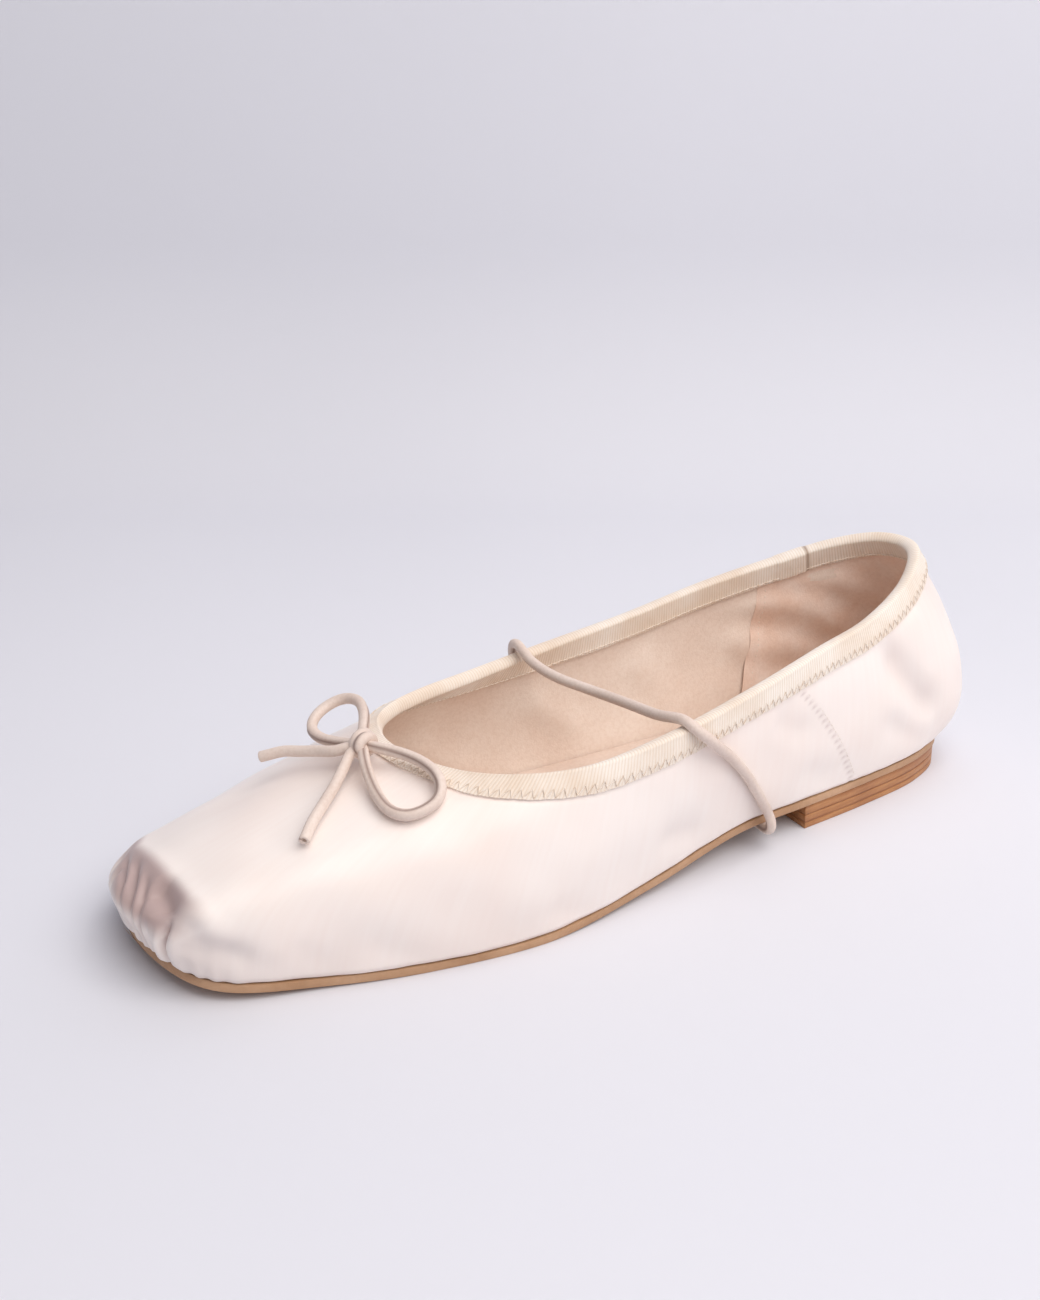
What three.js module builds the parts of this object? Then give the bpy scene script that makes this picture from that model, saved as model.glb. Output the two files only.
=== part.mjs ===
import * as THREE from 'three';

// Ballet shoe, left foot, in millimetres. +X runs to the toe, +Y is the wearer's left, +Z is up.
const MIDDLE_STATION = 124.51;  // station (measured from the heel seat's back) that lies at x = 0
const MIDDLE_SIDE = 1.93;       // side offset of the box's middle from the heel line
const UPPER_WALL = 1.6;         // satin, padding and lining together
const GAP = 0.3;                // clearance between pieces that meet
const SOLE_THICKNESS = 2.2;
const SOLE_INSET = 0.4;         // how far the upper overhangs the outsole
const HEEL_INSET = 0.4;
const HEEL_BREAST = 71;         // station of the front face of the heel lift
const INSOLE_THICKNESS = 2.0;
const INSOLE_INSET = 2.2;
const BINDING_WALL = 0.8;
const TAPE_GAP = 0.3;
const BINDING_DEPTH = 7.4;      // how far the tape reaches down each face
const CORD_RADIUS = 1.4;
const CORD_SIDES = 8;

const COLUMNS = 96;             // columns round the shoe
const WALL_ROWS = 8;            // rows from feather line to the tape's lower edge
const ACROSS = 4;               // cells across a plate

// One row per section, heel to toe.  f = feather line, k = shoulder the wall leans towards,
// w = how strongly it does, c = collar edge (throat edge in the last rows).
const LATERAL = [
  { fs: 4.5, fy: 0, fz: 9.6, ks: -15, ky: 0, kz: 22, w: 1.05, cs: 17.5, cy: 0, cz: 69.2 },
  { fs: 9, fy: 12.6, fz: 9.6, ks: -8, ky: 18, kz: 22.5, w: 1.05, cs: 20.5, cy: 8.2, cz: 68.6 },
  { fs: 23, fy: 20.2, fz: 9.6, ks: 15, ky: 27, kz: 26.5, w: 1.0, cs: 30.5, cy: 16, cz: 63.6 },
  { fs: 46, fy: 24.6, fz: 9.6, ks: 43, ky: 31, kz: 30.5, w: 1.0, cs: 49, cy: 22.6, cz: 57.4 },
  { fs: 70, fy: 27.3, fz: 9.5, ks: 68, ky: 33, kz: 30, w: 1.0, cs: 70, cy: 28, cz: 54.5 },
  { fs: 95, fy: 29.6, fz: 9.0, ks: 95, ky: 35.5, kz: 28, w: 1.0, cs: 95, cy: 32.7, cz: 49.8 },
  { fs: 128, fy: 35.6, fz: 4.8, ks: 126, ky: 40.5, kz: 26, w: 1.0, cs: 125, cy: 37.3, cz: 45.3 },
  { fs: 160, fy: 40.6, fz: 2.5, ks: 157, ky: 44.8, kz: 25, w: 1.1, cs: 147, cy: 36.5, cz: 42.3 },
  { fs: 190, fy: 37.8, fz: 2.5, ks: 186, ky: 42.3, kz: 27, w: 1.3, cs: 163, cy: 31.5, cz: 41.4 },
  { fs: 214, fy: 32.4, fz: 3.3, ks: 212.5, ky: 36.5, kz: 27.5, w: 1.6, cs: 173, cy: 24.5, cz: 41 },
  { fs: 233.5, fy: 27.2, fz: 5.0, ks: 235, ky: 30.2, kz: 26, w: 2.0, cs: 179, cy: 15.5, cz: 40.8 },
  { fs: 243, fy: 19.6, fz: 6.5, ks: 249, ky: 21.8, kz: 23.5, w: 2.5, cs: 181.8, cy: 8, cz: 40.8 },
  { fs: 249.2, fy: 0, fz: 7.0, ks: 258, ky: 0, kz: 20.5, w: 2.5, cs: 183, cy: 0, cz: 40.8 },
];
const MEDIAL = [
  { fs: 9, fy: -12.6, fz: 9.6, ks: -8, ky: -18, kz: 22.5, w: 1.05, cs: 20.5, cy: -8.2, cz: 68.7 },
  { fs: 23, fy: -20, fz: 9.6, ks: 15, ky: -26.5, kz: 26.5, w: 1.0, cs: 30, cy: -17, cz: 65.6 },
  { fs: 46, fy: -23.5, fz: 9.6, ks: 43, ky: -30, kz: 30.5, w: 1.0, cs: 48, cy: -24.2, cz: 60 },
  { fs: 70, fy: -23.5, fz: 9.5, ks: 68, ky: -30, kz: 30, w: 1.0, cs: 70, cy: -28, cz: 55 },
  { fs: 95, fy: -24, fz: 9.0, ks: 95, ky: -30, kz: 28, w: 1.0, cs: 95, cy: -28.6, cz: 49.8 },
  { fs: 128, fy: -30, fz: 4.8, ks: 126, ky: -34, kz: 26, w: 1.0, cs: 125, cy: -28, cz: 45.3 },
  { fs: 160, fy: -36.4, fz: 2.5, ks: 157, ky: -39.5, kz: 24, w: 1.05, cs: 147, cy: -26, cz: 42.3 },
  { fs: 190, fy: -38, fz: 2.5, ks: 186, ky: -40, kz: 24, w: 1.1, cs: 163, cy: -22.5, cz: 41.4 },
  { fs: 214, fy: -36, fz: 3.3, ks: 213, ky: -38, kz: 21.5, w: 1.25, cs: 173, cy: -18.5, cz: 41 },
  { fs: 235, fy: -30.5, fz: 5.0, ks: 235, ky: -32.5, kz: 17, w: 1.6, cs: 179, cy: -13.5, cz: 40.8 },
  { fs: 247, fy: -20.5, fz: 6.3, ks: 252.8, ky: -22, kz: 16.8, w: 2.2, cs: 181.8, cy: -7.5, cz: 40.8 },
];

const ROWS = [...LATERAL, ...MEDIAL.slice().reverse()];
const TOE_INDEX = LATERAL.length - 1;

function closedCurve(s, y, z) {
  const points = ROWS.map((r) => new THREE.Vector3(r[s] - MIDDLE_STATION, r[y], r[z]));
  return new THREE.CatmullRomCurve3(points, true, 'centripetal');
}
const FEATHER = closedCurve('fs', 'fy', 'fz');
const SHOULDER = closedCurve('ks', 'ky', 'kz');
const COLLAR = closedCurve('cs', 'cy', 'cz');

function pull(u) {
  const at = u * ROWS.length;
  const i = Math.floor(at) % ROWS.length;
  const f = at - Math.floor(at);
  const t = f * f * (3 - 2 * f);
  return ROWS[i].w * (1 - t) + ROWS[(i + 1) % ROWS.length].w * t;
}

// Evenly spaced columns, the same number on each side of the heel-to-toe line.
function columnParameters() {
  const split = TOE_INDEX / ROWS.length;
  const out = [];
  for (const [from, to] of [[0, split], [split, 1]]) {
    const steps = 400;
    const reach = [0];
    let last = null;
    for (let i = 0; i <= steps; i++) {
      const u = (from + (to - from) * i / steps) % 1;
      const p = FEATHER.getPoint(u).add(COLLAR.getPoint(u)).multiplyScalar(0.5);
      if (last) reach.push(reach[i - 1] + p.distanceTo(last));
      last = p;
    }
    const half = COLUMNS / 2;
    for (let j = 0; j < half; j++) {
      const want = reach[steps] * j / half;
      const i = Math.max(1, reach.findIndex((r) => r >= want));
      const f = (want - reach[i - 1]) / (reach[i] - reach[i - 1]);
      out.push(from + (to - from) * (i - 1 + f) / steps);
    }
  }
  return out;
}
const U = columnParameters();

// The wall of the upper: a conic from feather line to collar, bent towards the shoulder.
function wallPoint(u, v) {
  const w = pull(u);
  const a = (1 - v) * (1 - v);
  const b = 2 * v * (1 - v) * w;
  const c = v * v;
  return FEATHER.getPoint(u).multiplyScalar(a)
    .addScaledVector(SHOULDER.getPoint(u), b)
    .addScaledVector(COLLAR.getPoint(u), c)
    .divideScalar(a + b + c);
}

function wallNormal(u, v) {
  const e = 0.004;
  const v0 = Math.max(0, v - e);
  const v1 = Math.min(1, v + e);
  const up = wallPoint(u, v1).sub(wallPoint(u, v0));
  const along = wallPoint((u + e) % 1, v).sub(wallPoint((u + 1 - e) % 1, v));
  return along.cross(up).normalize().negate();
}

function wallOffset(u, v, d) {
  return wallPoint(u, v).addScaledVector(wallNormal(u, v), d);
}

// v at a given distance below the collar edge, along the wall.
function vBelow(u, depth) {
  const step = 0.002;
  let v = 1;
  let last = wallPoint(u, 1);
  let run = 0;
  while (v > step) {
    const p = wallPoint(u, v - step);
    const d = p.distanceTo(last);
    if (run + d >= depth) return v - step * (depth - run) / d;
    run += d;
    v -= step;
    last = p;
  }
  return v;
}

function meshFrom(name, triangles, colour) {
  const index = new Map();
  const positions = [];
  const cells = [];
  const id = (p) => {
    const key = `${p.x.toFixed(4)},${p.y.toFixed(4)},${p.z.toFixed(4)}`;
    if (!index.has(key)) {
      index.set(key, positions.length / 3);
      positions.push(p.x, p.y, p.z);
    }
    return index.get(key);
  };
  let volume = 0;
  for (const [a, b, c] of triangles) {
    const t = [id(a), id(b), id(c)];
    if (t[0] === t[1] || t[1] === t[2] || t[0] === t[2]) continue;
    cells.push(t);
    volume += a.dot(b.clone().cross(c)) / 6;
  }
  const flat = cells.flatMap((t) => (volume < 0 ? [t[0], t[2], t[1]] : t));
  const geometry = new THREE.BufferGeometry();
  geometry.setAttribute('position', new THREE.Float32BufferAttribute(positions, 3));
  geometry.setIndex(flat);
  geometry.computeVertexNormals();
  const mesh = new THREE.Mesh(geometry, new THREE.MeshStandardMaterial({ color: colour }));
  mesh.name = name;
  return mesh;
}

// A four-sided cell, split along its shorter diagonal.
function quad(list, a, b, c, d) {
  if (a.distanceToSquared(c) <= b.distanceToSquared(d) + 1e-6) list.push([a, b, c], [a, c, d]);
  else list.push([b, c, d], [b, d, a]);
}

// Rings joined one to the next and the last to the first: a closed hollow band.
function hollowBand(name, rings, colour) {
  const list = [];
  for (let i = 0; i < rings.length; i++) {
    const one = rings[i];
    const two = rings[(i + 1) % rings.length];
    for (let j = 0; j < one.length; j++) {
      const k = (j + 1) % one.length;
      quad(list, one[j], one[k], two[k], two[j]);
    }
  }
  return meshFrom(name, list, colour);
}

// Plan outline moved sideways by d, with the height left to the feather line plus dz.
function outline(d, dz) {
  return U.map((u) => {
    const e = 0.003;
    const t = FEATHER.getPoint((u + e) % 1).sub(FEATHER.getPoint((u + 1 - e) % 1));
    const n = new THREE.Vector3(-t.y, t.x, 0).normalize();
    const p = FEATHER.getPoint(u);
    const q = p.clone().addScaledVector(n, d);
    q.z = Math.max(p.z + dz, 0);
    return q;
  });
}

// A plate between two outlines (over stations first..last), closed all round.
function plate(name, top, bottom, last, colour) {
  const grid = (ring) => {
    const rows = [];
    for (let j = 0; j <= last; j++) {
      const left = ring[j];
      const right = ring[(COLUMNS - j) % COLUMNS];
      rows.push(Array.from({ length: ACROSS + 1 }, (_, k) => left.clone().lerp(right, k / ACROSS)));
    }
    return rows;
  };
  const a = grid(top);
  const b = grid(bottom);
  const list = [];
  for (let j = 0; j < last; j++) {
    for (let k = 0; k < ACROSS; k++) {
      quad(list, a[j][k], a[j + 1][k], a[j + 1][k + 1], a[j][k + 1]);
      quad(list, b[j][k], b[j][k + 1], b[j + 1][k + 1], b[j + 1][k]);
    }
    quad(list, a[j][0], b[j][0], b[j + 1][0], a[j + 1][0]);
    quad(list, a[j][ACROSS], a[j + 1][ACROSS], b[j + 1][ACROSS], b[j][ACROSS]);
  }
  for (let k = 0; k < ACROSS; k++) {
    quad(list, a[last][k], b[last][k], b[last][k + 1], a[last][k + 1]);
  }
  return meshFrom(name, list, colour);
}

const group = new THREE.Group();
group.name = 'ballet_shoe';

// Upper: outer rows up to the edge, inner rows back down.  The rows under the tape are shared.
const EDGE_DROP = GAP + BINDING_WALL;
const TAPE_ROWS = [BINDING_DEPTH, (BINDING_DEPTH + EDGE_DROP) / 2, EDGE_DROP];
const tapeV = TAPE_ROWS.map((d) => U.map((u) => vBelow(u, d)));
const rowsV = [];
for (let i = 0; i < WALL_ROWS; i++) {
  rowsV.push(tapeV[0].map((v) => v * i / WALL_ROWS));
}
rowsV.push(...tapeV);
const outerRings = rowsV.map((row) => U.map((u, j) => wallPoint(u, row[j])));
const innerRings = rowsV.map((row, i) => U.map((u, j) => {
  const p = wallOffset(u, row[j], -UPPER_WALL);
  if (i === 0) p.z = FEATHER.getPoint(u).z;
  return p;
}));
group.add(hollowBand('upper', [...outerRings, ...innerRings.slice().reverse()], 0xf0dcd6));

// Topline binding: a channel over the collar edge, in the same columns and rows.
const ring = (v, d) => U.map((u, j) => wallOffset(u, v[j], d));
const inside = -UPPER_WALL - TAPE_GAP;
const roofV = U.map((u) => vBelow(u, EDGE_DROP - GAP));
const shoulderV = U.map((u) => vBelow(u, 0.3));
const channelV = [...tapeV, roofV];
group.add(hollowBand('topline_binding', [
  ...channelV.slice().reverse().map((v) => ring(v, TAPE_GAP)),
  ...tapeV.map((v) => ring(v, TAPE_GAP + BINDING_WALL)),
  ring(shoulderV, TAPE_GAP + BINDING_WALL * 0.8),
  ring(U.map(() => 1), GAP - BINDING_WALL * 0.2),
  ring(U.map(() => 1), inside + BINDING_WALL * 0.2),
  ring(shoulderV, inside - BINDING_WALL * 0.8),
  ...tapeV.slice().reverse().map((v) => ring(v, inside - BINDING_WALL)),
  ...channelV.map((v) => ring(v, inside)),
], 0xdcc4ac));

const half = COLUMNS / 2;
group.add(plate('outsole', outline(-SOLE_INSET, -GAP), outline(-SOLE_INSET - 0.4, -GAP - SOLE_THICKNESS), half, 0xb98a62));
group.add(plate('insole', outline(-INSOLE_INSET, INSOLE_THICKNESS), outline(-INSOLE_INSET, 0), half, 0xd9bfa6));

// Heel lift: the same outline, drawn in, from the outsole's underside to the floor.
const breast = U.slice(0, half).findIndex((u) => FEATHER.getPoint(u).x > HEEL_BREAST - MIDDLE_STATION);
const liftTop = outline(-SOLE_INSET - HEEL_INSET, -2 * GAP - SOLE_THICKNESS);
const liftFoot = outline(-SOLE_INSET - HEEL_INSET - 0.3, 0).map((p) => p.clone().setZ(0));
group.add(plate('heel_lift', liftTop, liftFoot, breast, 0xa8744c));

// Cords: hand-placed centre lines as station, y, z.
const STRAP_ROUTE = [
  [86.4, 26.4, 4.3], [86.6, 28.9, 4.3], [86.9, 31.2, 5.3], [87.2, 31.8, 7.6], [87.6, 31.7, 9.7],
  [88.2, 31.4, 11.6], [89.8, 32.2, 14.1], [91.8, 33.1, 16.8], [93.7, 33.9, 19.6], [95.7, 34.6, 22.3],
  [97.9, 35.3, 25.4], [100.1, 36.0, 28.2], [102.4, 36.6, 30.9], [105.0, 37.2, 33.7], [107.4, 37.7, 36.1],
  [109.7, 38.4, 38.4], [112.6, 39.6, 41.2], [115.0, 40.0, 43.4], [117.3, 39.9, 45.5], [119.3, 39.2, 47.9],
  [120.5, 36.7, 49.0], [121.4, 33.8, 48.7], [122.0, 31.4, 47.5], [122.2, 27.0, 45.9], [122.4, 21.4, 45.0],
  [123.4, 13.5, 44.2], [124.9, 5.8, 43.6], [127.0, -1.2, 43.4], [129.4, -8.1, 43.5], [130.9, -14.5, 43.9],
  [131.7, -20.4, 44.8], [132.0, -24.2, 46.6], [131.9, -27.2, 47.5], [131.7, -30.0, 46.6], [131.2, -31.6, 44.0],
  [130.2, -32.8, 40.6], [127.9, -33.1, 36.4], [123.8, -32.8, 31.1], [118.8, -32.5, 26.0], [113.7, -31.6, 20.8],
  [109.2, -30.1, 15.7], [105.9, -28.6, 11.1], [104.8, -28.1, 8.8], [104.4, -28.1, 6.4], [104.2, -27.2, 4.0],
  [104.0, -24.9, 3.1], [103.9, -22.6, 3.1],
];
const LATERAL_LOOP = [
  [189.9, 8.6, 44.4], [187.6, 10.6, 44.2], [185.1, 13.7, 43.9], [182.6, 18.6, 43.5], [181.3, 23.8, 42.6],
  [181.4, 26.9, 40.9], [183.5, 29.4, 38.8], [187.3, 30.1, 37.5], [191.3, 29.3, 36.8], [194.0, 26.4, 37.2],
  [194.7, 21.7, 38.3], [194.4, 16.6, 39.6], [193.9, 12.2, 41.4], [193.2, 8.6, 43.5],
];
const MEDIAL_LOOP = [
  [190.0, 0.6, 45.0], [188.3, -2.6, 46.0], [186.4, -7.6, 46.9], [185.8, -13.0, 47.2],
  [188.0, -17.0, 46.6], [192.2, -17.8, 45.1], [196.0, -16.4, 43.5], [198.2, -13.6, 42.0],
  [197.7, -9.4, 41.2], [195.7, -4.4, 41.7], [193.6, 0.6, 42.8],
];
const MEDIAL_TAIL = [
  [195.3, 3.0, 43.1], [197.9, 1.3, 42.2], [200.7, -2.7, 41.1], [203.7, -6.2, 40.2],
  [207.0, -9.5, 39.5], [210.6, -11.7, 38.3], [211.8, -12.6, 37.8],
];
const LATERAL_TAIL = [
  [195.4, 5.6, 42.7], [198.2, 8.2, 40.9], [201.9, 11.9, 38.9], [206.3, 15.9, 37.1],
  [210.6, 19.8, 35.3], [213.8, 23.2, 33.5],
];
const KNOT = { s: 191.5, z: 43.9, from: 1.3, to: 7.5, radii: [1.9, 2.9, 3.0, 3.0, 2.9, 1.9] };

function lineLength(points) {
  return points.slice(1).reduce((sum, p, i) => sum + p.distanceTo(points[i]), 0);
}

// A round tube along a centre line, closed at both ends.
function tube(name, centres, radii, colour) {
  const list = [];
  let side = null;
  const rings = centres.map((p, i) => {
    const ahead = centres[Math.min(i + 1, centres.length - 1)];
    const behind = centres[Math.max(i - 1, 0)];
    const t = ahead.clone().sub(behind).normalize();
    if (!side) side = new THREE.Vector3(0, 0, 1).cross(t).lengthSq() > 0.01
      ? new THREE.Vector3(0, 0, 1).cross(t).normalize() : new THREE.Vector3(1, 0, 0);
    side = side.clone().addScaledVector(t, -side.dot(t)).normalize();
    const up = t.clone().cross(side);
    return Array.from({ length: CORD_SIDES }, (_, k) => {
      const a = 2 * Math.PI * k / CORD_SIDES;
      return p.clone().addScaledVector(side, radii[i] * Math.cos(a)).addScaledVector(up, radii[i] * Math.sin(a));
    });
  });
  for (let i = 0; i + 1 < rings.length; i++) {
    for (let k = 0; k < CORD_SIDES; k++) {
      const n = (k + 1) % CORD_SIDES;
      quad(list, rings[i][k], rings[i][n], rings[i + 1][n], rings[i + 1][k]);
    }
  }
  for (const [row, p, turn] of [[rings[0], centres[0], true], [rings[rings.length - 1], centres[centres.length - 1], false]]) {
    for (let k = 0; k < CORD_SIDES; k++) {
      const n = (k + 1) % CORD_SIDES;
      list.push(turn ? [p, row[n], row[k]] : [p, row[k], row[n]]);
    }
  }
  return meshFrom(name, list, colour);
}

function cord(name, route, colour) {
  const points = route.map(([s, y, z]) => new THREE.Vector3(s - MIDDLE_STATION, y, z));
  const curve = new THREE.CatmullRomCurve3(points, false, 'centripetal');
  const steps = Math.max(8, Math.round(lineLength(points) / (CORD_RADIUS * 3.4)));
  const centres = Array.from({ length: steps + 1 }, (_, i) => curve.getPointAt(i / steps));
  return tube(name, centres, centres.map(() => CORD_RADIUS), colour);
}

group.add(cord('instep_strap', STRAP_ROUTE, 0xc4a79b));
group.add(cord('bow_loop_lateral', LATERAL_LOOP, 0xc9ad9f));
group.add(cord('bow_loop_medial', MEDIAL_LOOP, 0xc9ad9f));
group.add(cord('bow_end_medial', MEDIAL_TAIL, 0xc9ad9f));
group.add(cord('bow_end_lateral', LATERAL_TAIL, 0xc9ad9f));
const knotCentres = KNOT.radii.map((_, i) => {
  const y = KNOT.from + (KNOT.to - KNOT.from) * i / (KNOT.radii.length - 1);
  return new THREE.Vector3(KNOT.s - MIDDLE_STATION, y, KNOT.z);
});
group.add(tube('bow_knot', knotCentres, KNOT.radii, 0xc4a79b));

group.children.forEach((mesh) => mesh.geometry.translate(0, -MIDDLE_SIDE, 0));

export default group;
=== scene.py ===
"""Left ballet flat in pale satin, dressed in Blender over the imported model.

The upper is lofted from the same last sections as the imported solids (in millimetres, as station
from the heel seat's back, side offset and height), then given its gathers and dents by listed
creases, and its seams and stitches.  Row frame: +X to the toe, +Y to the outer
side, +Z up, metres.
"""

import logging
import math
from collections.abc import Iterator
from contextlib import contextmanager
from dataclasses import dataclass, field
from enum import Enum
from typing import Any

import bpy
import numpy as np
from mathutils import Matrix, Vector


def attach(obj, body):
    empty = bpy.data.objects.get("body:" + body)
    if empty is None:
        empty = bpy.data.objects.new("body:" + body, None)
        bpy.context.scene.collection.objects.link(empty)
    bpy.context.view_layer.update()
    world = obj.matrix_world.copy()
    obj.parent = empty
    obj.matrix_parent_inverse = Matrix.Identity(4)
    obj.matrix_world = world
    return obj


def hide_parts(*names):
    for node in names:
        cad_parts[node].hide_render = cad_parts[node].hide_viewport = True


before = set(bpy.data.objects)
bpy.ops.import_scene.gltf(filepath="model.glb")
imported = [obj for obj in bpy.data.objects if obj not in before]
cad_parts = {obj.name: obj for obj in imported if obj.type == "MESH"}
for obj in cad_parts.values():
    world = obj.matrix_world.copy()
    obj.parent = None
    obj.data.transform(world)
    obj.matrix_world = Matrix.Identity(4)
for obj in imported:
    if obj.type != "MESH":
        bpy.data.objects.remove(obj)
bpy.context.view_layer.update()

LOG = logging.getLogger("ballet_flat")
BODY = "root"
MIDDLE_STATION = 124.51  # station that lies at x = 0
MIDDLE_SIDE = 1.93  # side offset that lies at y = 0
MM = 0.001
SPAN_STEPS = 24  # samples in each span of an open spline, before they are spaced evenly
FEATHER, SHOULDER, LEAN, COLLAR = range(4)  # the columns of a section row

Array = np.ndarray
Place = tuple[float, float, float]


# Small helpers
def to_row(points: Array) -> Array:
    """Turns (station, side, height) in millimetres into row-frame metres.

    Args:
        points: array whose last axis holds station, side and height.

    Returns:
        The same points in metres in the row frame.
    """
    return (np.asarray(points, float) - [MIDDLE_STATION, MIDDLE_SIDE, 0.0]) * MM


def smooth(low: float, high: float, value: Array) -> Array:
    """Gives a soft step from 0 at low to 1 at high.

    Args:
        low: where the step starts.
        high: where it ends.
        value: the numbers to put through it.

    Returns:
        The stepped numbers.
    """
    t = np.clip((np.asarray(value, float) - low) / (high - low), 0.0, 1.0)
    return t * t * (3.0 - 2.0 * t)


def deselect() -> None:
    """Leaves edit mode and deselects every object."""
    if bpy.context.object is not None and bpy.context.object.mode != "OBJECT":
        bpy.ops.object.mode_set(mode="OBJECT")
    bpy.ops.object.select_all(action="DESELECT")


def running(points: Array) -> Array:
    """Length along a line, or along every column of a grid, from its first point to each point.

    Args:
        points: (n, ..., 3) points.

    Returns:
        (n, ...) lengths that start at 0.
    """
    steps = np.linalg.norm(np.diff(points, axis=0), axis=-1)
    return np.concatenate([np.zeros((1, *steps.shape[1:])), np.cumsum(steps, 0)])


def activate(piece: bpy.types.Object) -> None:
    """Makes one piece the only selected and the active object.

    Args:
        piece: the object to work on next.
    """
    deselect()
    piece.select_set(True)
    bpy.context.view_layer.objects.active = piece


def apply_modifier(piece: bpy.types.Object, kind: str, **settings: Any) -> None:
    """Adds one modifier with its settings and applies it.

    Args:
        piece: the object that gets it.
        kind: Blender's name of the modifier type.
        **settings: attributes of the modifier.
    """
    activate(piece)
    modifier = piece.modifiers.new(kind.lower(), kind)
    for name, value in settings.items():
        setattr(modifier, name, value)
    bpy.ops.object.modifier_apply(modifier=modifier.name)


@contextmanager
def editing(piece: bpy.types.Object) -> Iterator[None]:
    """Holds a piece in edit mode, with all of it selected, while the block under it runs.

    Args:
        piece: the object to shape.
    """
    activate(piece)
    bpy.ops.object.mode_set(mode="EDIT")
    bpy.ops.mesh.select_all(action="SELECT")
    yield
    bpy.ops.object.mode_set(mode="OBJECT")


def merge_doubles(piece: bpy.types.Object, distance: float = 2e-6) -> None:
    """Merges corners that lie on each other.

    Args:
        piece: the object to clean.
        distance: the largest gap that is closed, in metres.
    """
    with editing(piece):
        bpy.ops.mesh.remove_doubles(threshold=distance)


def lay_grid(name: str, points: Array, cloth: Array, close: bool = True) -> bpy.types.Object:
    """Adds a flat grid primitive and lays it over the given rows of points.

    Args:
        name: name of the new piece.
        points: (rows, columns, 3) in station, side, height millimetres.
        cloth: (rows, columns, 2) lengths along and across the material, in metres.
        close: whether doubled corners, such as a ring's two ends, are merged.

    Returns:
        The new piece, with its lengths as its UV map.
    """
    deselect()
    rows, columns = points.shape[:2]
    bpy.ops.mesh.primitive_grid_add(x_subdivisions=columns - 1, y_subdivisions=rows - 1, size=0.2)
    piece = bpy.context.object
    piece.name = piece.data.name = name
    mesh = piece.data
    if len(mesh.vertices) != rows * columns:
        raise ValueError(f"{name}: the grid has {len(mesh.vertices)} corners")
    mesh.vertices.foreach_set("co", to_row(points).reshape(-1).astype(np.float32))
    corner = np.zeros(len(mesh.loops), np.int32)
    mesh.loops.foreach_get("vertex_index", corner)
    layer = mesh.uv_layers.active or mesh.uv_layers.new(name="cloth")
    layer.name = "cloth"
    layer.data.foreach_set("uv", cloth.reshape(-1, 2)[corner].reshape(-1).astype(np.float32))
    mesh.update()
    if close:
        merge_doubles(piece)
    return piece


def add_attribute(piece: bpy.types.Object, name: str, values: Array) -> None:
    """Stores one number per corner of the grid on a piece, before its doubles are merged.

    Args:
        piece: the grid piece.
        name: name of the attribute.
        values: one number per vertex.
    """
    layer = piece.data.attributes.new(name, "FLOAT", "POINT")
    layer.data.foreach_set("value", np.asarray(values, np.float32).reshape(-1))


def thicken(piece: bpy.types.Object, thickness: float) -> None:
    """Gives a sheet its thickness, grown from its face inward.

    Args:
        piece: the open sheet.
        thickness: in millimetres.
    """
    apply_modifier(piece, "SOLIDIFY", thickness=thickness * MM, offset=-1.0)


def read_corners(piece: bpy.types.Object) -> Array:
    """Gives the corners of a piece's mesh as an (n, 3) array in metres."""
    corners = np.zeros(len(piece.data.vertices) * 3, np.float32)
    piece.data.vertices.foreach_get("co", corners)
    return corners.reshape(-1, 3)


def shade(piece: bpy.types.Object, angle: float = 40.0) -> None:
    """Shades a piece smooth, with edges sharper than the angle kept.

    Args:
        piece: the object to shade.
        angle: the largest smooth angle in degrees.
    """
    activate(piece)
    bpy.ops.object.shade_smooth_by_angle(angle=math.radians(angle))


def finish_piece(piece: bpy.types.Object, material: bpy.types.Material,
                 nodes: tuple[str, ...] = ()) -> bpy.types.Object:
    """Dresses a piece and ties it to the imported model.

    Args:
        piece: the finished mesh.
        material: its finish.
        nodes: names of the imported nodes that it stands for.

    Returns:
        The same piece.
    """
    piece.data.materials.clear()
    piece.data.materials.append(material)
    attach(piece, BODY)
    if nodes:
        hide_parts(*nodes)
    LOG.info("%s: %d faces", piece.name, len(piece.data.polygons))
    return piece


# The last
class Side(Enum):
    """The two long sides of the shoe, by the sign of their side offset."""

    LATERAL = 1
    MEDIAL = -1


# One row per section.  Feather line, shoulder, how strongly the wall leans to it, collar edge.
LATERAL_SECTIONS = (
    ((4.5, 0, 9.6), (-15, 0, 22), 1.05, (17.5, 0, 69.2)),
    ((9, 12.6, 9.6), (-8, 18, 22.5), 1.05, (20.5, 8.2, 68.6)),
    ((23, 20.2, 9.6), (15, 27, 26.5), 1.0, (30.5, 16, 63.6)),
    ((46, 24.6, 9.6), (43, 31, 30.5), 1.0, (49, 22.6, 57.4)),
    ((70, 27.3, 9.5), (68, 33, 30), 1.0, (70, 28, 54.5)),
    ((95, 29.6, 9), (95, 35.5, 28), 1.0, (95, 32.7, 49.8)),
    ((128, 35.6, 4.8), (126, 40.5, 26), 1.0, (125, 37.3, 45.3)),
    ((160, 40.6, 2.5), (157, 44.8, 25), 1.1, (147, 36.5, 42.3)),
    ((190, 37.8, 2.5), (186, 42.3, 27), 1.3, (163, 31.5, 41.4)),
    ((214, 32.4, 3.3), (212.5, 36.5, 27.5), 1.6, (173, 24.5, 41)),
    ((233.5, 27.2, 5), (235, 30.2, 26), 2.0, (179, 15.5, 40.8)),
    ((243, 19.6, 6.5), (249, 21.8, 23.5), 2.5, (181.8, 8, 40.8)),
    ((249.2, 0, 7), (258, 0, 20.5), 2.5, (183, 0, 40.8)),
)
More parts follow.
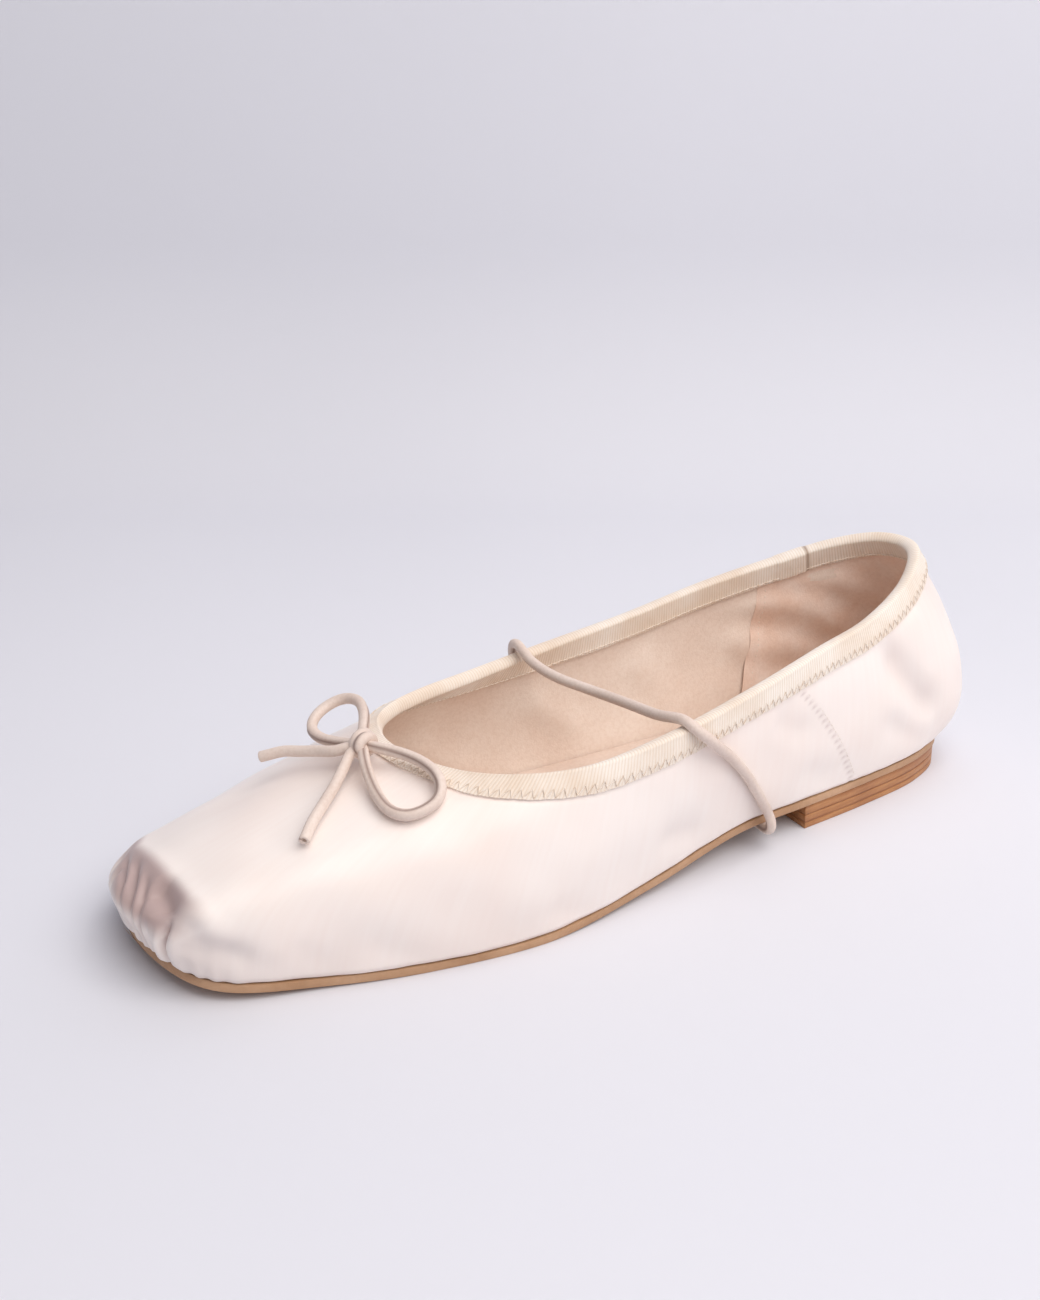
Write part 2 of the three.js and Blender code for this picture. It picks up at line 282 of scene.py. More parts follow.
MEDIAL_SECTIONS = (
    ((9, -12.6, 9.6), (-8, -18, 22.5), 1.05, (20.5, -8.2, 68.7)),
    ((23, -20, 9.6), (15, -26.5, 26.5), 1.0, (30, -17, 65.6)),
    ((46, -23.5, 9.6), (43, -30, 30.5), 1.0, (48, -24.2, 60)),
    ((70, -23.5, 9.5), (68, -30, 30), 1.0, (70, -28, 55)),
    ((95, -24, 9), (95, -30, 28), 1.0, (95, -28.6, 49.8)),
    ((128, -30, 4.8), (126, -34, 26), 1.0, (125, -28, 45.3)),
    ((160, -36.4, 2.5), (157, -39.5, 24), 1.05, (147, -26, 42.3)),
    ((190, -38, 2.5), (186, -40, 24), 1.1, (163, -22.5, 41.4)),
    ((214, -36, 3.3), (213, -38, 21.5), 1.25, (173, -18.5, 41)),
    ((235, -30.5, 5), (235, -32.5, 17), 1.6, (179, -13.5, 40.8)),
    ((247, -20.5, 6.3), (252.8, -22, 16.8), 2.2, (181.8, -7.5, 40.8)),
)


def closed_spline(knots: Array, u: Array) -> Array:
    """Samples a closed centripetal spline, as the part's source does.

    Args:
        knots: (n, 3) points that the loop goes through.
        u: places round the loop, 0 to 1.

    Returns:
        The points at those places.
    """
    at = np.mod(u, 1.0) * len(knots)
    i = np.floor(at).astype(int)
    t = (at - i)[..., None]
    p0, p1, p2, p3 = (knots[(i + k) % len(knots)] for k in (-1, 0, 1, 2))
    return spline_piece(p0, p1, p2, p3, t)


def spline_piece(p0: Array, p1: Array, p2: Array, p3: Array, t: Array) -> Array:
    """Samples one span of a centripetal spline between p1 and p2.

    Args:
        p0: the point before the span.
        p1: its start.
        p2: its end.
        p3: the point after it.
        t: places along the span, 0 to 1.

    Returns:
        The points at those places.
    """
    d0, d1, d2 = (np.sum((b - a) ** 2, -1, keepdims=True) ** 0.25
                  for a, b in ((p0, p1), (p1, p2), (p2, p3)))
    m1 = ((p1 - p0) / d0 - (p2 - p0) / (d0 + d1) + (p2 - p1) / d1) * d1
    m2 = ((p2 - p1) / d1 - (p3 - p1) / (d1 + d2) + (p3 - p2) / d2) * d1
    return (p1 + m1 * t + (-3 * p1 + 3 * p2 - 2 * m1 - m2) * t ** 2
            + (2 * p1 - 2 * p2 + m1 + m2) * t ** 3)


def open_spline(knots: list[Place], count: int) -> Array:
    """Samples an open centripetal spline at even steps of its length.

    Args:
        knots: the points it goes through.
        count: how many points come back.

    Returns:
        (count, 3) points.
    """
    k = np.asarray(knots, float)
    k = np.vstack([2 * k[0] - k[1], k, 2 * k[-1] - k[-2]])
    t = np.linspace(0, 1, SPAN_STEPS, endpoint=False)[:, None]
    spans = [spline_piece(k[i], k[i + 1], k[i + 2], k[i + 3], t) for i in range(len(k) - 3)]
    fine = np.vstack([*spans, k[-2]])
    run = running(fine)
    want = np.linspace(0, run[-1], count)
    return np.stack([np.interp(want, run, fine[:, axis]) for axis in range(3)], 1)


def even_out(line: Array, times: int) -> None:
    """Moves each inner point of a line towards its two neighbours, in place.

    Args:
        line: (n, 3) points.
        times: how often it is done.
    """
    for _ in range(times):
        line[1:-1] = 0.25 * line[:-2] + 0.5 * line[1:-1] + 0.25 * line[2:]


@dataclass(frozen=True)
class Last:
    """The foot form that the satin is pulled over: three loops and a lean between them."""

    sections: tuple = LATERAL_SECTIONS + MEDIAL_SECTIONS[::-1]
    toe_index: int = len(LATERAL_SECTIONS) - 1

    def loop(self, part: int, u: Array) -> Array:
        """Samples the feather line, the shoulder or the collar.

        Args:
            part: which column of a section row, FEATHER, SHOULDER or COLLAR.
            u: places round the shoe.

        Returns:
            The points at those places.
        """
        return closed_spline(np.array([row[part] for row in self.sections], float), u)

    def pull(self, u: Array) -> Array:
        """How strongly the wall leans to its shoulder at u."""
        lean = np.array([row[LEAN] for row in self.sections])
        at = np.mod(u, 1.0) * len(lean)
        i = np.floor(at).astype(int)
        t = smooth(0, 1, at - i)
        return lean[i % len(lean)] * (1 - t) + lean[(i + 1) % len(lean)] * t

    def wall(self, u: Array, v: Array) -> Array:
        """The outer face of the upper: u round the shoe, v from feather line to collar."""
        a, b, c = (1 - v) ** 2, 2 * v * (1 - v) * self.pull(u), v ** 2
        mix = (self.loop(FEATHER, u) * a[..., None] + self.loop(SHOULDER, u) * b[..., None]
               + self.loop(COLLAR, u) * c[..., None])
        return mix / (a + b + c)[..., None]

    def normal(self, u: Array, v: Array) -> Array:
        """The outward direction of the wall at (u, v)."""
        e = 0.004  # share of the way round and up over which the slope is taken
        up = self.wall(u, np.minimum(v + e, 1)) - self.wall(u, np.maximum(v - e, 0))
        along = self.wall(u + e, v) - self.wall(u - e, v)
        out = -np.cross(along, up)
        return out / np.linalg.norm(out, axis=-1, keepdims=True)

    def columns(self, count: int, toe_share: float = 0.0) -> Array:
        """Places round the shoe on each long side, the last one closing the ring.

        Args:
            count: how many columns go round.
            toe_share: how much denser they are round the toe, 0 for even spacing.

        Returns:
            count + 1 places from 0 to 1.
        """
        split = self.toe_index / len(self.sections)
        out = []
        for start, end in ((0.0, split), (split, 1.0)):
            u = np.linspace(start, end, 1201)
            line = (self.loop(FEATHER, u) + self.loop(COLLAR, u)) / 2
            step = np.linalg.norm(np.diff(line, axis=0), axis=1)
            step *= 1 + toe_share * smooth(184, 204, line[1:, 0])
            run = np.concatenate([[0], np.cumsum(step)])
            out.append(np.interp(np.linspace(0, run[-1], count // 2, endpoint=False), run, u))
        return np.concatenate([*out, [1.0]])

    def depth_to_v(self, u: Array, depth: Array) -> Array:
        """The v at a depth below the collar edge, measured along the wall.

        Args:
            u: places round the shoe.
            depth: (rows, len(u)) depths in millimetres.

        Returns:
            (rows, len(u)) values of v.
        """
        v = np.linspace(1, 0, 401)
        shape = (len(v), len(u))
        run = running(self.wall(np.broadcast_to(u, shape), np.broadcast_to(v[:, None], shape)))
        return np.stack([np.interp(depth[:, j], run[:, j], v) for j in range(len(u))], 1)

    def outline(self, u: Array, out: float, rise: float) -> Array:
        """The feather line in plan, moved sideways by out and in height by rise, never under 0."""
        e = 0.003  # share of the way round over which the direction is taken
        step = self.loop(FEATHER, u + e) - self.loop(FEATHER, u - e)
        side = np.stack([-step[:, 1], step[:, 0]], 1)
        side /= np.linalg.norm(side, axis=1, keepdims=True)
        line = self.loop(FEATHER, u)
        line[:, :2] += side * out
        line[:, 2] = np.maximum(line[:, 2] + rise, 0)
        return line


# Folds
@dataclass(frozen=True)
class Crease:
    """One soft trough (depth above 0) or ridge (below 0) along a line of points on the upper.

    It fades in from its first point, and fades to a quarter towards its last.
    """

    line: tuple[Place, ...]
    depth: float
    width: float
    fade_in: float = 0.3  # share of its length over which it starts
    fade_out: float = 0.72  # share of its length at which it starts to fade
    end_loss: float = 0.75

    def at(self, points: Array, surface: Array) -> Array:
        """How far the crease pushes each point inward, in millimetres.

        Args:
            points: (n, 3) station, side and height.
            surface: (m, 3) points of the plain form that the line is laid on.

        Returns:
            One depth per point.
        """
        near = np.full(len(points), 1e9)
        along = np.zeros(len(points))
        knots = open_spline(list(self.line), 4 * len(self.line) - 3)
        for i, knot in enumerate(knots):
            knots[i] = surface[np.argmin(np.sum((surface - knot) ** 2, 1))]
        even_out(knots, 2)
        spans = len(knots) - 1
        for i in range(spans):
            a, b = knots[i], knots[i + 1]
            t = np.clip((points - a) @ (b - a) / max(np.sum((b - a) ** 2), 1e-9), 0, 1)
            d = np.linalg.norm(points - (a + t[:, None] * (b - a)), axis=1)
            closer = d < near
            near[closer] = d[closer]
            along[closer] = (i + t[closer]) / spans
        fade = smooth(0.0, self.fade_in, along) * (1 - self.end_loss * smooth(self.fade_out, 1.0, along))
        return self.depth * fade * np.exp(-(near / self.width) ** 2)


# Gathers and pinched folds of the square toe, then the soft dents of the sides and the heel.
TOE_CREASES = (
    Crease(((235, -29, 15.5), (240, -23, 18.5), (243.2, -14, 20.5), (242.6, -4.3, 22.5),
            (241.3, 8.3, 23.6), (239.6, 18.6, 23.2), (238.2, 23, 21.4), (236.8, 25.6, 18.9),
            (231.6, 28.6, 15.8), (224.3, 31, 11.8)), -0.75, 3.2),
    Crease(((247, -18, 11), (250.2, -6, 12), (250.6, 5, 12), (248.4, 14, 12)), 1.1, 4.6),
    Crease(((242.4, 22.5, 16), (238.5, 25.6, 14.6), (234, 28, 13.4), (227, 30.4, 11.4)), 0.7, 3.4),
    Crease(((244.5, -17, 18.6), (247.2, -9.1, 19), (249.3, -1.8, 18.4), (251, 2.6, 14), (250, 4, 5)),
           1.25, 1.15),
    Crease(((245.2, -12, 20), (247.8, -2.8, 19.8), (250.3, 2.4, 17.2), (251, 4.8, 12)), -0.45, 1.0),
    Crease(((243.6, -8, 21.4), (246.1, -2.1, 21.1), (248.2, 3.1, 19.6), (250.2, 6.9, 15), (249.4, 7.6, 5)),
           1.4, 1.2),
    Crease(((244, -3, 22), (246.8, 4.6, 20.6), (249, 8.2, 17.6), (250, 9.4, 11)), -0.45, 1.1),
    Crease(((244.1, 2.1, 22.3), (246.9, 7.4, 20.2), (248.8, 10, 17), (249.2, 10.6, 5)), 1.1, 1.1),
    Crease(((243.4, 6.5, 21.8), (243.4, 12.4, 21.6), (243.6, 16.4, 20.6), (244.7, 17.6, 18.4)), 2.4, 3.4),
    Crease(((243.2, 18.2, 20.6), (244.6, 19, 18), (245.8, 18.3, 14.5), (245.3, 16.9, 5)), 1.9, 0.85),
    Crease(((245, 17, 19), (246.7, 16.6, 14.4), (246.5, 15.4, 9)), -0.6, 1.4),
    Crease(((243.3, 20.8, 18.4), (244.3, 20.8, 15), (244, 19.6, 9)), -0.45, 1.5),
    Crease(((239.1, 22.1, 21.5), (240.5, 23.6, 17.3), (241.4, 22.6, 11.4)), 0.6, 3.0),
    Crease(((247.4, 12, 18.4), (248.9, 13.4, 14), (247.8, 13.4, 5)), 0.8, 1.0),
    Crease(((246.4, -12, 19), (249.4, -9, 15), (249.4, -7.6, 5)), 1.0, 1.2),
    Crease(((243.6, -19, 18), (248, -15.4, 14.6), (248, -14.4, 5)), 1.1, 1.3),
    Crease(((241, -23.5, 17), (245.6, -21.4, 13.6), (245.6, -20.6, 5)), 1.2, 1.3),
    Crease(((237.5, -28, 15.6), (241.4, -27, 12), (241.6, -26, 5)), 0.8, 1.7),
)
BODY_CREASES = (
    Crease(((235.4, 26.8, 16.3), (233, 28.2, 13), (229, 29.4, 9.8)), 0.4, 3.0),
    Crease(((221.7, 31.6, 14.4), (217.4, 32.5, 10.5), (212.3, 33.2, 6.7)), 0.3, 3.4),
    Crease(((205.6, 35.4, 12), (198.4, 36.7, 7.4), (191, 37.8, 4.3)), 0.35, 3.6),
    Crease(((161.6, 41.9, 12.1), (153.9, 40.8, 6.3), (147.4, 39.5, 4.5)), 0.5, 3.8),
    Crease(((130.3, 38.3, 16.9), (119.6, 36.2, 15.8), (109.3, 33.6, 13.6)), 0.95, 4.6),
    Crease(((112, 37.2, 31), (103, 35.6, 27), (93, 33.6, 20)), -0.35, 4),
    Crease(((90.9, 32.9, 40.7), (83.2, 32, 35.7), (73.9, 30.9, 31.2)), 0.75, 4.2),
    Crease(((78, 31, 22), (70, 29.8, 17), (62, 28, 13.5)), 0.6, 4),
    Crease(((47.4, 24.8, 53.3), (39.5, 24.9, 42.7), (31.4, 24.9, 32.8), (18.2, 21.8, 20.2)), 2.5, 4.8),
    Crease(((33.9, 20.6, 57.5), (28.1, 21, 48.3), (23.1, 21.5, 40.3)), -0.5, 4),
    Crease(((48.3, 27.8, 30.3), (35, 25.5, 20.6), (20.6, 21.1, 13.3)), 0.7, 3.6),
    Crease(((21.3, 14.4, 61.5), (12.5, 12.9, 51.2), (11.1, 15.9, 43.4)), 0.7, 4.2),
    Crease(((8, -10, 52), (4, -9, 40), (4, -8, 28)), 0.9, 4.8),
    Crease(((34, -22.5, 55), (27, -24, 41), (15, -20.5, 26)), 1.2, 5),
    Crease(((62, -27.5, 40), (52, -27.6, 31), (43, -26.6, 20)), 0.9, 4.6),
    Crease(((96, -29, 38), (88, -28.6, 29), (80, -27, 18)), 0.9, 5),
    Crease(((131, -31.5, 31), (119, -30, 22), (108, -28.4, 14)), 1.0, 5),
    Crease(((166, -37, 24), (154, -36.4, 14), (142, -34, 8)), 1.0, 4.4),
    Crease(((201, -38, 17), (190, -38.8, 10), (178, -38.2, 6)), 0.8, 3.6),
    Crease(((224, -34.6, 17), (216, -36.4, 11), (206, -37.6, 7)), 0.8, 3.2),
    Crease(((226, 12, 33), (214, 18, 34), (200, 22, 36)), 0.35, 7),
    Crease(((232, -12, 30), (220, -16, 32.5), (206, -19, 33)), 0.4, 7),
)


# Which creases get painted shade, by depth and width in millimetres, and how much painted shade a broad
# dent gets.
PLEAT_DEPTH = 1
PLEAT_WIDTH = 2
DENT_DEPTH = 0.6
DENT_LIMIT = 2.4
DENT_PAINTED_SHADE = 0.1


def crease_push(points: Array, surface: Array) -> tuple[Array, Array]:
    """Adds up what all creases do to the upper, for the satin and the lining behind it.

    Args:
        points: (n, 3) station, side and height.
        surface: (m, 3) points of the plain form that the lines are laid on.

    Returns:
        Inward moves in millimetres, and the painted shade that the creases give each point, 0 to 1.
    """
    push = np.zeros(len(points))
    fold_shade = np.zeros(len(points))
    for crease in TOE_CREASES + BODY_CREASES:
        one = crease.at(points, surface)
        push += one
        share = np.clip(one / crease.depth, 0, 1)
        # painted shade: dark along narrow deep pleats, a little darker in broad dents
        if crease.depth > PLEAT_DEPTH and crease.width < PLEAT_WIDTH:
            fold_shade = np.maximum(fold_shade, share ** 2)
        elif crease.depth > DENT_DEPTH:
            fold_shade = np.maximum(fold_shade, DENT_PAINTED_SHADE * min(crease.depth, DENT_LIMIT) * share)
    return push, fold_shade


@dataclass(frozen=True)
class SideSeam:
    """The curved seam between vamp and quarter on one side, as station against height."""

    side: Side
    knots: tuple[tuple[float, float], ...] = ((83.5, 50), (79.1, 44.4), (75.6, 40.6), (72.5, 37.1),
                                              (69.3, 32.9), (66.2, 28.7), (63.1, 24.3),
                                              (60, 19.4), (56.6, 14), (53, 8))
    lean: float = 0.78  # the seam slants, so its true distance is shorter than that along the shoe
    elsewhere: float = 99.0  # distance given to points of the shoe's other side

    @property
    def stitched_to(self) -> float:
        """Height of its highest stitch, under the tape."""
        return 43.8 if self.side is Side.LATERAL else 43.0

    def offset(self, points: Array) -> Array:
        """How far ahead of the seam a point lies along the shoe, in millimetres.

        Args:
            points: (n, 3) station, side and height.

        Returns:
            Distances, positive towards the toe; far away on the other side of the shoe.
        """
        heights = np.array([z for _, z in self.knots])[::-1]
        stations = np.array([s for s, _ in self.knots])[::-1]
        off = (points[:, 0] - np.interp(points[:, 2], heights, stations)) * self.lean
        return np.where(points[:, 1] * self.side.value > 0, off, self.elsewhere)


# Finishes
MIX_SHARE, MIX_BELOW, MIX_ABOVE, MIX_RESULT = 0, 6, 7, 2  # colour sockets of the Mix node
MATH_VALUE, MATH_FACTOR, MATH_ADDED = range(3)  # inputs of a multiply-add Math node


def linear(hex_colour: str) -> tuple[float, float, float, float]:
    """Turns an sRGB hex colour into linear RGBA.

    Args:
        hex_colour: six digits, with or without a hash.

    Returns:
        Linear red, green, blue and full alpha.
    """
    text = hex_colour.lstrip("#")
    parts = (int(text[i:i + 2], 16) / 255 for i in (0, 2, 4))
    values = [c / 12.92 if c <= 0.04045 else ((c + 0.055) / 1.055) ** 2.4 for c in parts]
    return (values[0], values[1], values[2], 1.0)


def set_stops(ramp: bpy.types.ColorRamp, stops: tuple[tuple[float, str], ...]) -> None:
    """Sets the colours of a colour ramp.

    Args:
        ramp: the ramp, with two elements as Blender makes it.
        stops: positions with sRGB hex colours.
    """
    while len(ramp.elements) < len(stops):
        ramp.elements.new(0.5)
    for element, (position, colour) in zip(ramp.elements, stops):
        element.position = position
        element.color = linear(colour)


def add_node(tree: bpy.types.NodeTree, kind: str, settings: dict[str | int, Any] | None = None,
             links: dict[str | int, Any] | None = None) -> bpy.types.Node:
    """Adds one shader node with its settings and links.

    Args:
        tree: the material's node tree.
        kind: Blender's id name of the node, without "ShaderNode".
        settings: attribute names, input names or input numbers with their values, or "stops"
            with the colours of a ramp.
        links: input names or numbers with the output sockets that feed them.

    Returns:
        The new node.
    """
    node = tree.nodes.new("ShaderNode" + kind)
    for name, value in (settings or {}).items():
        if name == "stops":
            set_stops(node.color_ramp, value)
        elif isinstance(name, str) and hasattr(node, name):
            setattr(node, name, value)
        else:
            node.inputs[name].default_value = value
    for name, socket in (links or {}).items():
        tree.links.new(socket, node.inputs[name])
    return node


def wave_scale(period: float) -> float:
    """The wave texture's scale for bands that repeat every period metres."""
    return 2 * math.pi / (20 * period)


def new_material(name: str) -> tuple[bpy.types.Material, bpy.types.NodeTree, bpy.types.Node]:
    """Makes an empty node material with its main shader.

    Args:
        name: the finish's name.

    Returns:
        The material, its node tree and its Principled shader.
    """
    material = bpy.data.materials.new(name)
    material.use_nodes = True
    tree = material.node_tree
    tree.nodes.clear()
    shader = add_node(tree, "BsdfPrincipled")
    add_node(tree, "OutputMaterial", links={"Surface": shader.outputs["BSDF"]})
    return material, tree, shader


@dataclass(frozen=True)
class SatinFinish:
    """Pale pink duchess satin: long floats, so it shines in streaks across the warp."""

    name: str = "pale_pink_satin"
    light: str = "#fdf4ee"
    shade: str = "#faece4"
    # colour of the painted shade in creases, on the toe's front face and corner, and along the seams
    fold_shade: str = "#b8a09c"
    roughness: float = 0.4
    anisotropy: float = 0.35
    sheen: float = 0.2
    thread: float = 0.00022  # metres between warp threads
    streak: float = 0.0016
    clouds: float = 28.0  # soft tone changes in a metre

    def make(self) -> bpy.types.Material:
        """Builds the material."""
        material, tree, shader = new_material(self.name)
        coords = add_node(tree, "UVMap", {"uv_map": "cloth"})
        threads = add_node(tree, "Mapping", {"Scale": (1.0, 0.06, 1.0)},
                           {"Vector": coords.outputs["UV"]})
        warp = add_node(tree, "TexNoise", {"Scale": 1 / self.thread, "Detail": 2.0, "Roughness": 0.5},
                        {"Vector": threads.outputs["Vector"]})
        streaks = add_node(tree, "TexNoise", {"Scale": 1 / self.streak, "Detail": 3.0},
                           {"Vector": threads.outputs["Vector"]})
        place = add_node(tree, "TexCoord")
        cloud = add_node(tree, "TexNoise", {"Scale": self.clouds, "Detail": 2.0, "Roughness": 0.45},
                         {"Vector": place.outputs["Object"]})
        tint = add_node(tree, "ValToRGB", {"stops": ((0.3, self.shade), (0.62, self.light))},
                        {"Fac": cloud.outputs["Fac"]}).outputs["Color"]
        silk = add_node(tree, "ValToRGB", {"stops": ((0.3, "#fcf9f8"), (0.7, "#ffffff"))},
                        {"Fac": streaks.outputs["Fac"]}).outputs["Color"]
        body = add_node(tree, "Mix", {"data_type": "RGBA", "blend_type": "MULTIPLY", MIX_SHARE: 0.5},
                        {MIX_BELOW: tint, MIX_ABOVE: silk})
        # painted shade of creases, toe front and seams, mixed in by the satin's attribute
        fold_shade = add_node(tree, "Attribute", {"attribute_name": "fold_shade"})
        colour = add_node(tree, "Mix", {"data_type": "RGBA", MIX_ABOVE: linear(self.fold_shade)},
                          {MIX_SHARE: fold_shade.outputs["Fac"], MIX_BELOW: body.outputs[MIX_RESULT]})
        height = add_node(tree, "Math", {"operation": "MULTIPLY_ADD", MATH_FACTOR: 0.35},
                          {MATH_VALUE: streaks.outputs["Fac"], MATH_ADDED: warp.outputs["Fac"]})
        bump = add_node(tree, "Bump", {"Strength": 0.05, "Distance": 0.00006},
                        {"Height": height.outputs[0]})
        gloss = add_node(tree, "MapRange", {"To Min": self.roughness - 0.07,
                                            "To Max": self.roughness + 0.09},
                         {"Value": cloud.outputs["Fac"]})
        tangent = add_node(tree, "Tangent", {"direction_type": "UV_MAP", "uv_map": "cloth"})
        shader.inputs["Anisotropic"].default_value = self.anisotropy
        shader.inputs["Sheen Weight"].default_value = self.sheen
        shader.inputs["Sheen Roughness"].default_value = 0.35
        shader.inputs["IOR"].default_value = 1.5
        tree.links.new(colour.outputs[MIX_RESULT], shader.inputs["Base Color"])
        tree.links.new(gloss.outputs["Result"], shader.inputs["Roughness"])
        tree.links.new(bump.outputs["Normal"], shader.inputs["Normal"])
        tree.links.new(tangent.outputs["Tangent"], shader.inputs["Tangent"])
        return material


@dataclass(frozen=True)
class TapeFinish:
    """Beige grosgrain tape: fine cross ribs, matt, with needle holes along its lower edge."""

    name: str = "beige_ribbed_tape"
    # crown is the ribs' own colour; gap is painted shade in the recesses between them
    crown: str = "#fbf2e7"
    gap: str = "#f1e3d3"
    hole: str = "#a58c78"
    rib: float = 0.00085  # metres from rib to rib
    fibres: float = 2600.0  # in a metre
    soiled: float = 60.0  # tone changes from handling, in a metre

    def make(self) -> bpy.types.Material:
        """Builds the material."""
        material, tree, shader = new_material(self.name)
        coords = add_node(tree, "UVMap", {"uv_map": "cloth"})
        ribs = add_node(tree, "TexWave", {"wave_type": "BANDS", "bands_direction": "X",
                                          "Scale": wave_scale(self.rib), "Distortion": 0.25,
                                          "Detail": 1.0, "Detail Scale": 3.0},
                        {"Vector": coords.outputs["UV"]})
        fibre = add_node(tree, "TexNoise", {"Scale": self.fibres, "Detail": 2.0},
                         {"Vector": coords.outputs["UV"]})
        place = add_node(tree, "TexCoord")
        soil = add_node(tree, "TexNoise", {"Scale": self.soiled, "Detail": 3.0},
                        {"Vector": place.outputs["Object"]})
        # darker in the gaps between ribs: painted shade
        tint = add_node(tree, "ValToRGB", {"stops": ((0.05, self.gap), (0.6, self.crown))},
                        {"Fac": ribs.outputs["Fac"]}).outputs["Color"]
        tone = add_node(tree, "ValToRGB", {"stops": ((0.35, "#ecdfd2"), (0.65, "#ffffff"))},
                        {"Fac": soil.outputs["Fac"]}).outputs["Color"]
        body = add_node(tree, "Mix", {"data_type": "RGBA", "blend_type": "MULTIPLY", MIX_SHARE: 0.8},
                        {MIX_BELOW: tint, MIX_ABOVE: tone})
        hole = add_node(tree, "Attribute", {"attribute_name": "hole"})
        colour = add_node(tree, "Mix", {"data_type": "RGBA", MIX_ABOVE: linear(self.hole)},
                          {MIX_SHARE: hole.outputs["Fac"], MIX_BELOW: body.outputs[MIX_RESULT]})
        height = add_node(tree, "Math", {"operation": "MULTIPLY_ADD", MATH_FACTOR: 0.25},
                          {MATH_VALUE: fibre.outputs["Fac"], MATH_ADDED: ribs.outputs["Fac"]})
        bump = add_node(tree, "Bump", {"Strength": 0.5, "Distance": 0.00012},
                        {"Height": height.outputs[0]})
        shader.inputs["Roughness"].default_value = 0.68
        shader.inputs["Sheen Weight"].default_value = 0.3
        shader.inputs["Sheen Roughness"].default_value = 0.5
        tree.links.new(colour.outputs[MIX_RESULT], shader.inputs["Base Color"])
        tree.links.new(bump.outputs["Normal"], shader.inputs["Normal"])
        return material


@dataclass(frozen=True)
class LeatherFinish:
    """Smooth leather with pores and soft tone changes, for linings, sole, heel and cord."""

    name: str
    light: str
    dark: str
    pore: float = 0.0005  # metres between pores
    patch: float = 0.02  # metres across a tone change
    roughness: float = 0.45
    relief: float = 0.00006
    coat: float = 0.0
    # the colour below is painted shade in grooves and creases
    groove_shade: str = "#8c7166"  # colour of grooves and creases, where the piece has the attribute
    layer: float = 0.0  # metres from layer to layer of a stacked heel, 0 for none
    layer_fibres: float = 1800.0  # in a metre, across the cut edge of a layer

    def make(self) -> bpy.types.Material:
        """Builds the material."""
        material, tree, shader = new_material(self.name)
        place = add_node(tree, "TexCoord")
        cloud = add_node(tree, "TexNoise", {"Scale": 1 / self.patch, "Detail": 3.0},
                         {"Vector": place.outputs["Object"]})
        pores = add_node(tree, "TexVoronoi", {"Scale": 1 / self.pore, "Randomness": 0.9},
                         {"Vector": place.outputs["Object"]})
        grain = add_node(tree, "TexNoise", {"Scale": 0.5 / self.pore, "Detail": 4.0},
                         {"Vector": place.outputs["Object"]})
        tint = add_node(tree, "ValToRGB", {"stops": ((0.32, self.dark), (0.66, self.light))},
                        {"Fac": cloud.outputs["Fac"]}).outputs["Color"]
        speck = add_node(tree, "ValToRGB", {"stops": ((0.3, "#f3eeea"), (0.6, "#ffffff"))},
                         {"Fac": grain.outputs["Fac"]}).outputs["Color"]
        body = add_node(tree, "Mix", {"data_type": "RGBA", "blend_type": "MULTIPLY", MIX_SHARE: 0.6},
                        {MIX_BELOW: tint, MIX_ABOVE: speck})
        surface = body.outputs[MIX_RESULT]
        if self.layer:
            stack = add_node(tree, "Mapping", {"Scale": (0.08, 0.08, 1.0)},
                             {"Vector": place.outputs["Object"]})
            fibre = add_node(tree, "TexNoise", {"Scale": self.layer_fibres, "Detail": 4.0},
                             {"Vector": stack.outputs["Vector"]})
            bands = add_node(tree, "TexWave", {"bands_direction": "Z", "Distortion": 0.6,
                                               "Scale": wave_scale(self.layer), "Detail": 2.0},
                             {"Vector": stack.outputs["Vector"]})
            grainy = add_node(tree, "ValToRGB", {"stops": ((0.35, "#ead9ca"), (0.62, "#ffffff"))},
                              {"Fac": fibre.outputs["Fac"]}).outputs["Color"]
            lines = add_node(tree, "ValToRGB", {"stops": ((0.04, "#dfcab8"), (0.2, "#ffffff"))},
                             {"Fac": bands.outputs["Fac"]}).outputs["Color"]
            both = add_node(tree, "Mix", {"data_type": "RGBA", "blend_type": "MULTIPLY", MIX_SHARE: 1.0},
                            {MIX_BELOW: grainy, MIX_ABOVE: lines})
            edge = add_node(tree, "Mix", {"data_type": "RGBA", "blend_type": "MULTIPLY", MIX_SHARE: 0.75},
                            {MIX_BELOW: surface, MIX_ABOVE: both.outputs[MIX_RESULT]})
            surface = edge.outputs[MIX_RESULT]
        # painted shade along pressed grooves, where the piece has the attribute
        groove_shade = add_node(tree, "Attribute", {"attribute_name": "groove_shade"})
        colour = add_node(tree, "Mix", {"data_type": "RGBA", MIX_ABOVE: linear(self.groove_shade)},
                          {MIX_SHARE: groove_shade.outputs["Fac"], MIX_BELOW: surface})
        height = add_node(tree, "Math", {"operation": "MULTIPLY_ADD", MATH_FACTOR: 0.6},
                          {MATH_VALUE: grain.outputs["Fac"], MATH_ADDED: pores.outputs["Distance"]})
        bump = add_node(tree, "Bump", {"Strength": 0.6, "Distance": self.relief},
                        {"Height": height.outputs[0]})
        gloss = add_node(tree, "MapRange", {"To Min": self.roughness - 0.08,
                                            "To Max": self.roughness + 0.1},
                         {"Value": cloud.outputs["Fac"]})
        shader.inputs["Coat Weight"].default_value = self.coat
        shader.inputs["Coat Roughness"].default_value = 0.3
        tree.links.new(colour.outputs[MIX_RESULT], shader.inputs["Base Color"])
        tree.links.new(gloss.outputs["Result"], shader.inputs["Roughness"])
        tree.links.new(bump.outputs["Normal"], shader.inputs["Normal"])
        return material


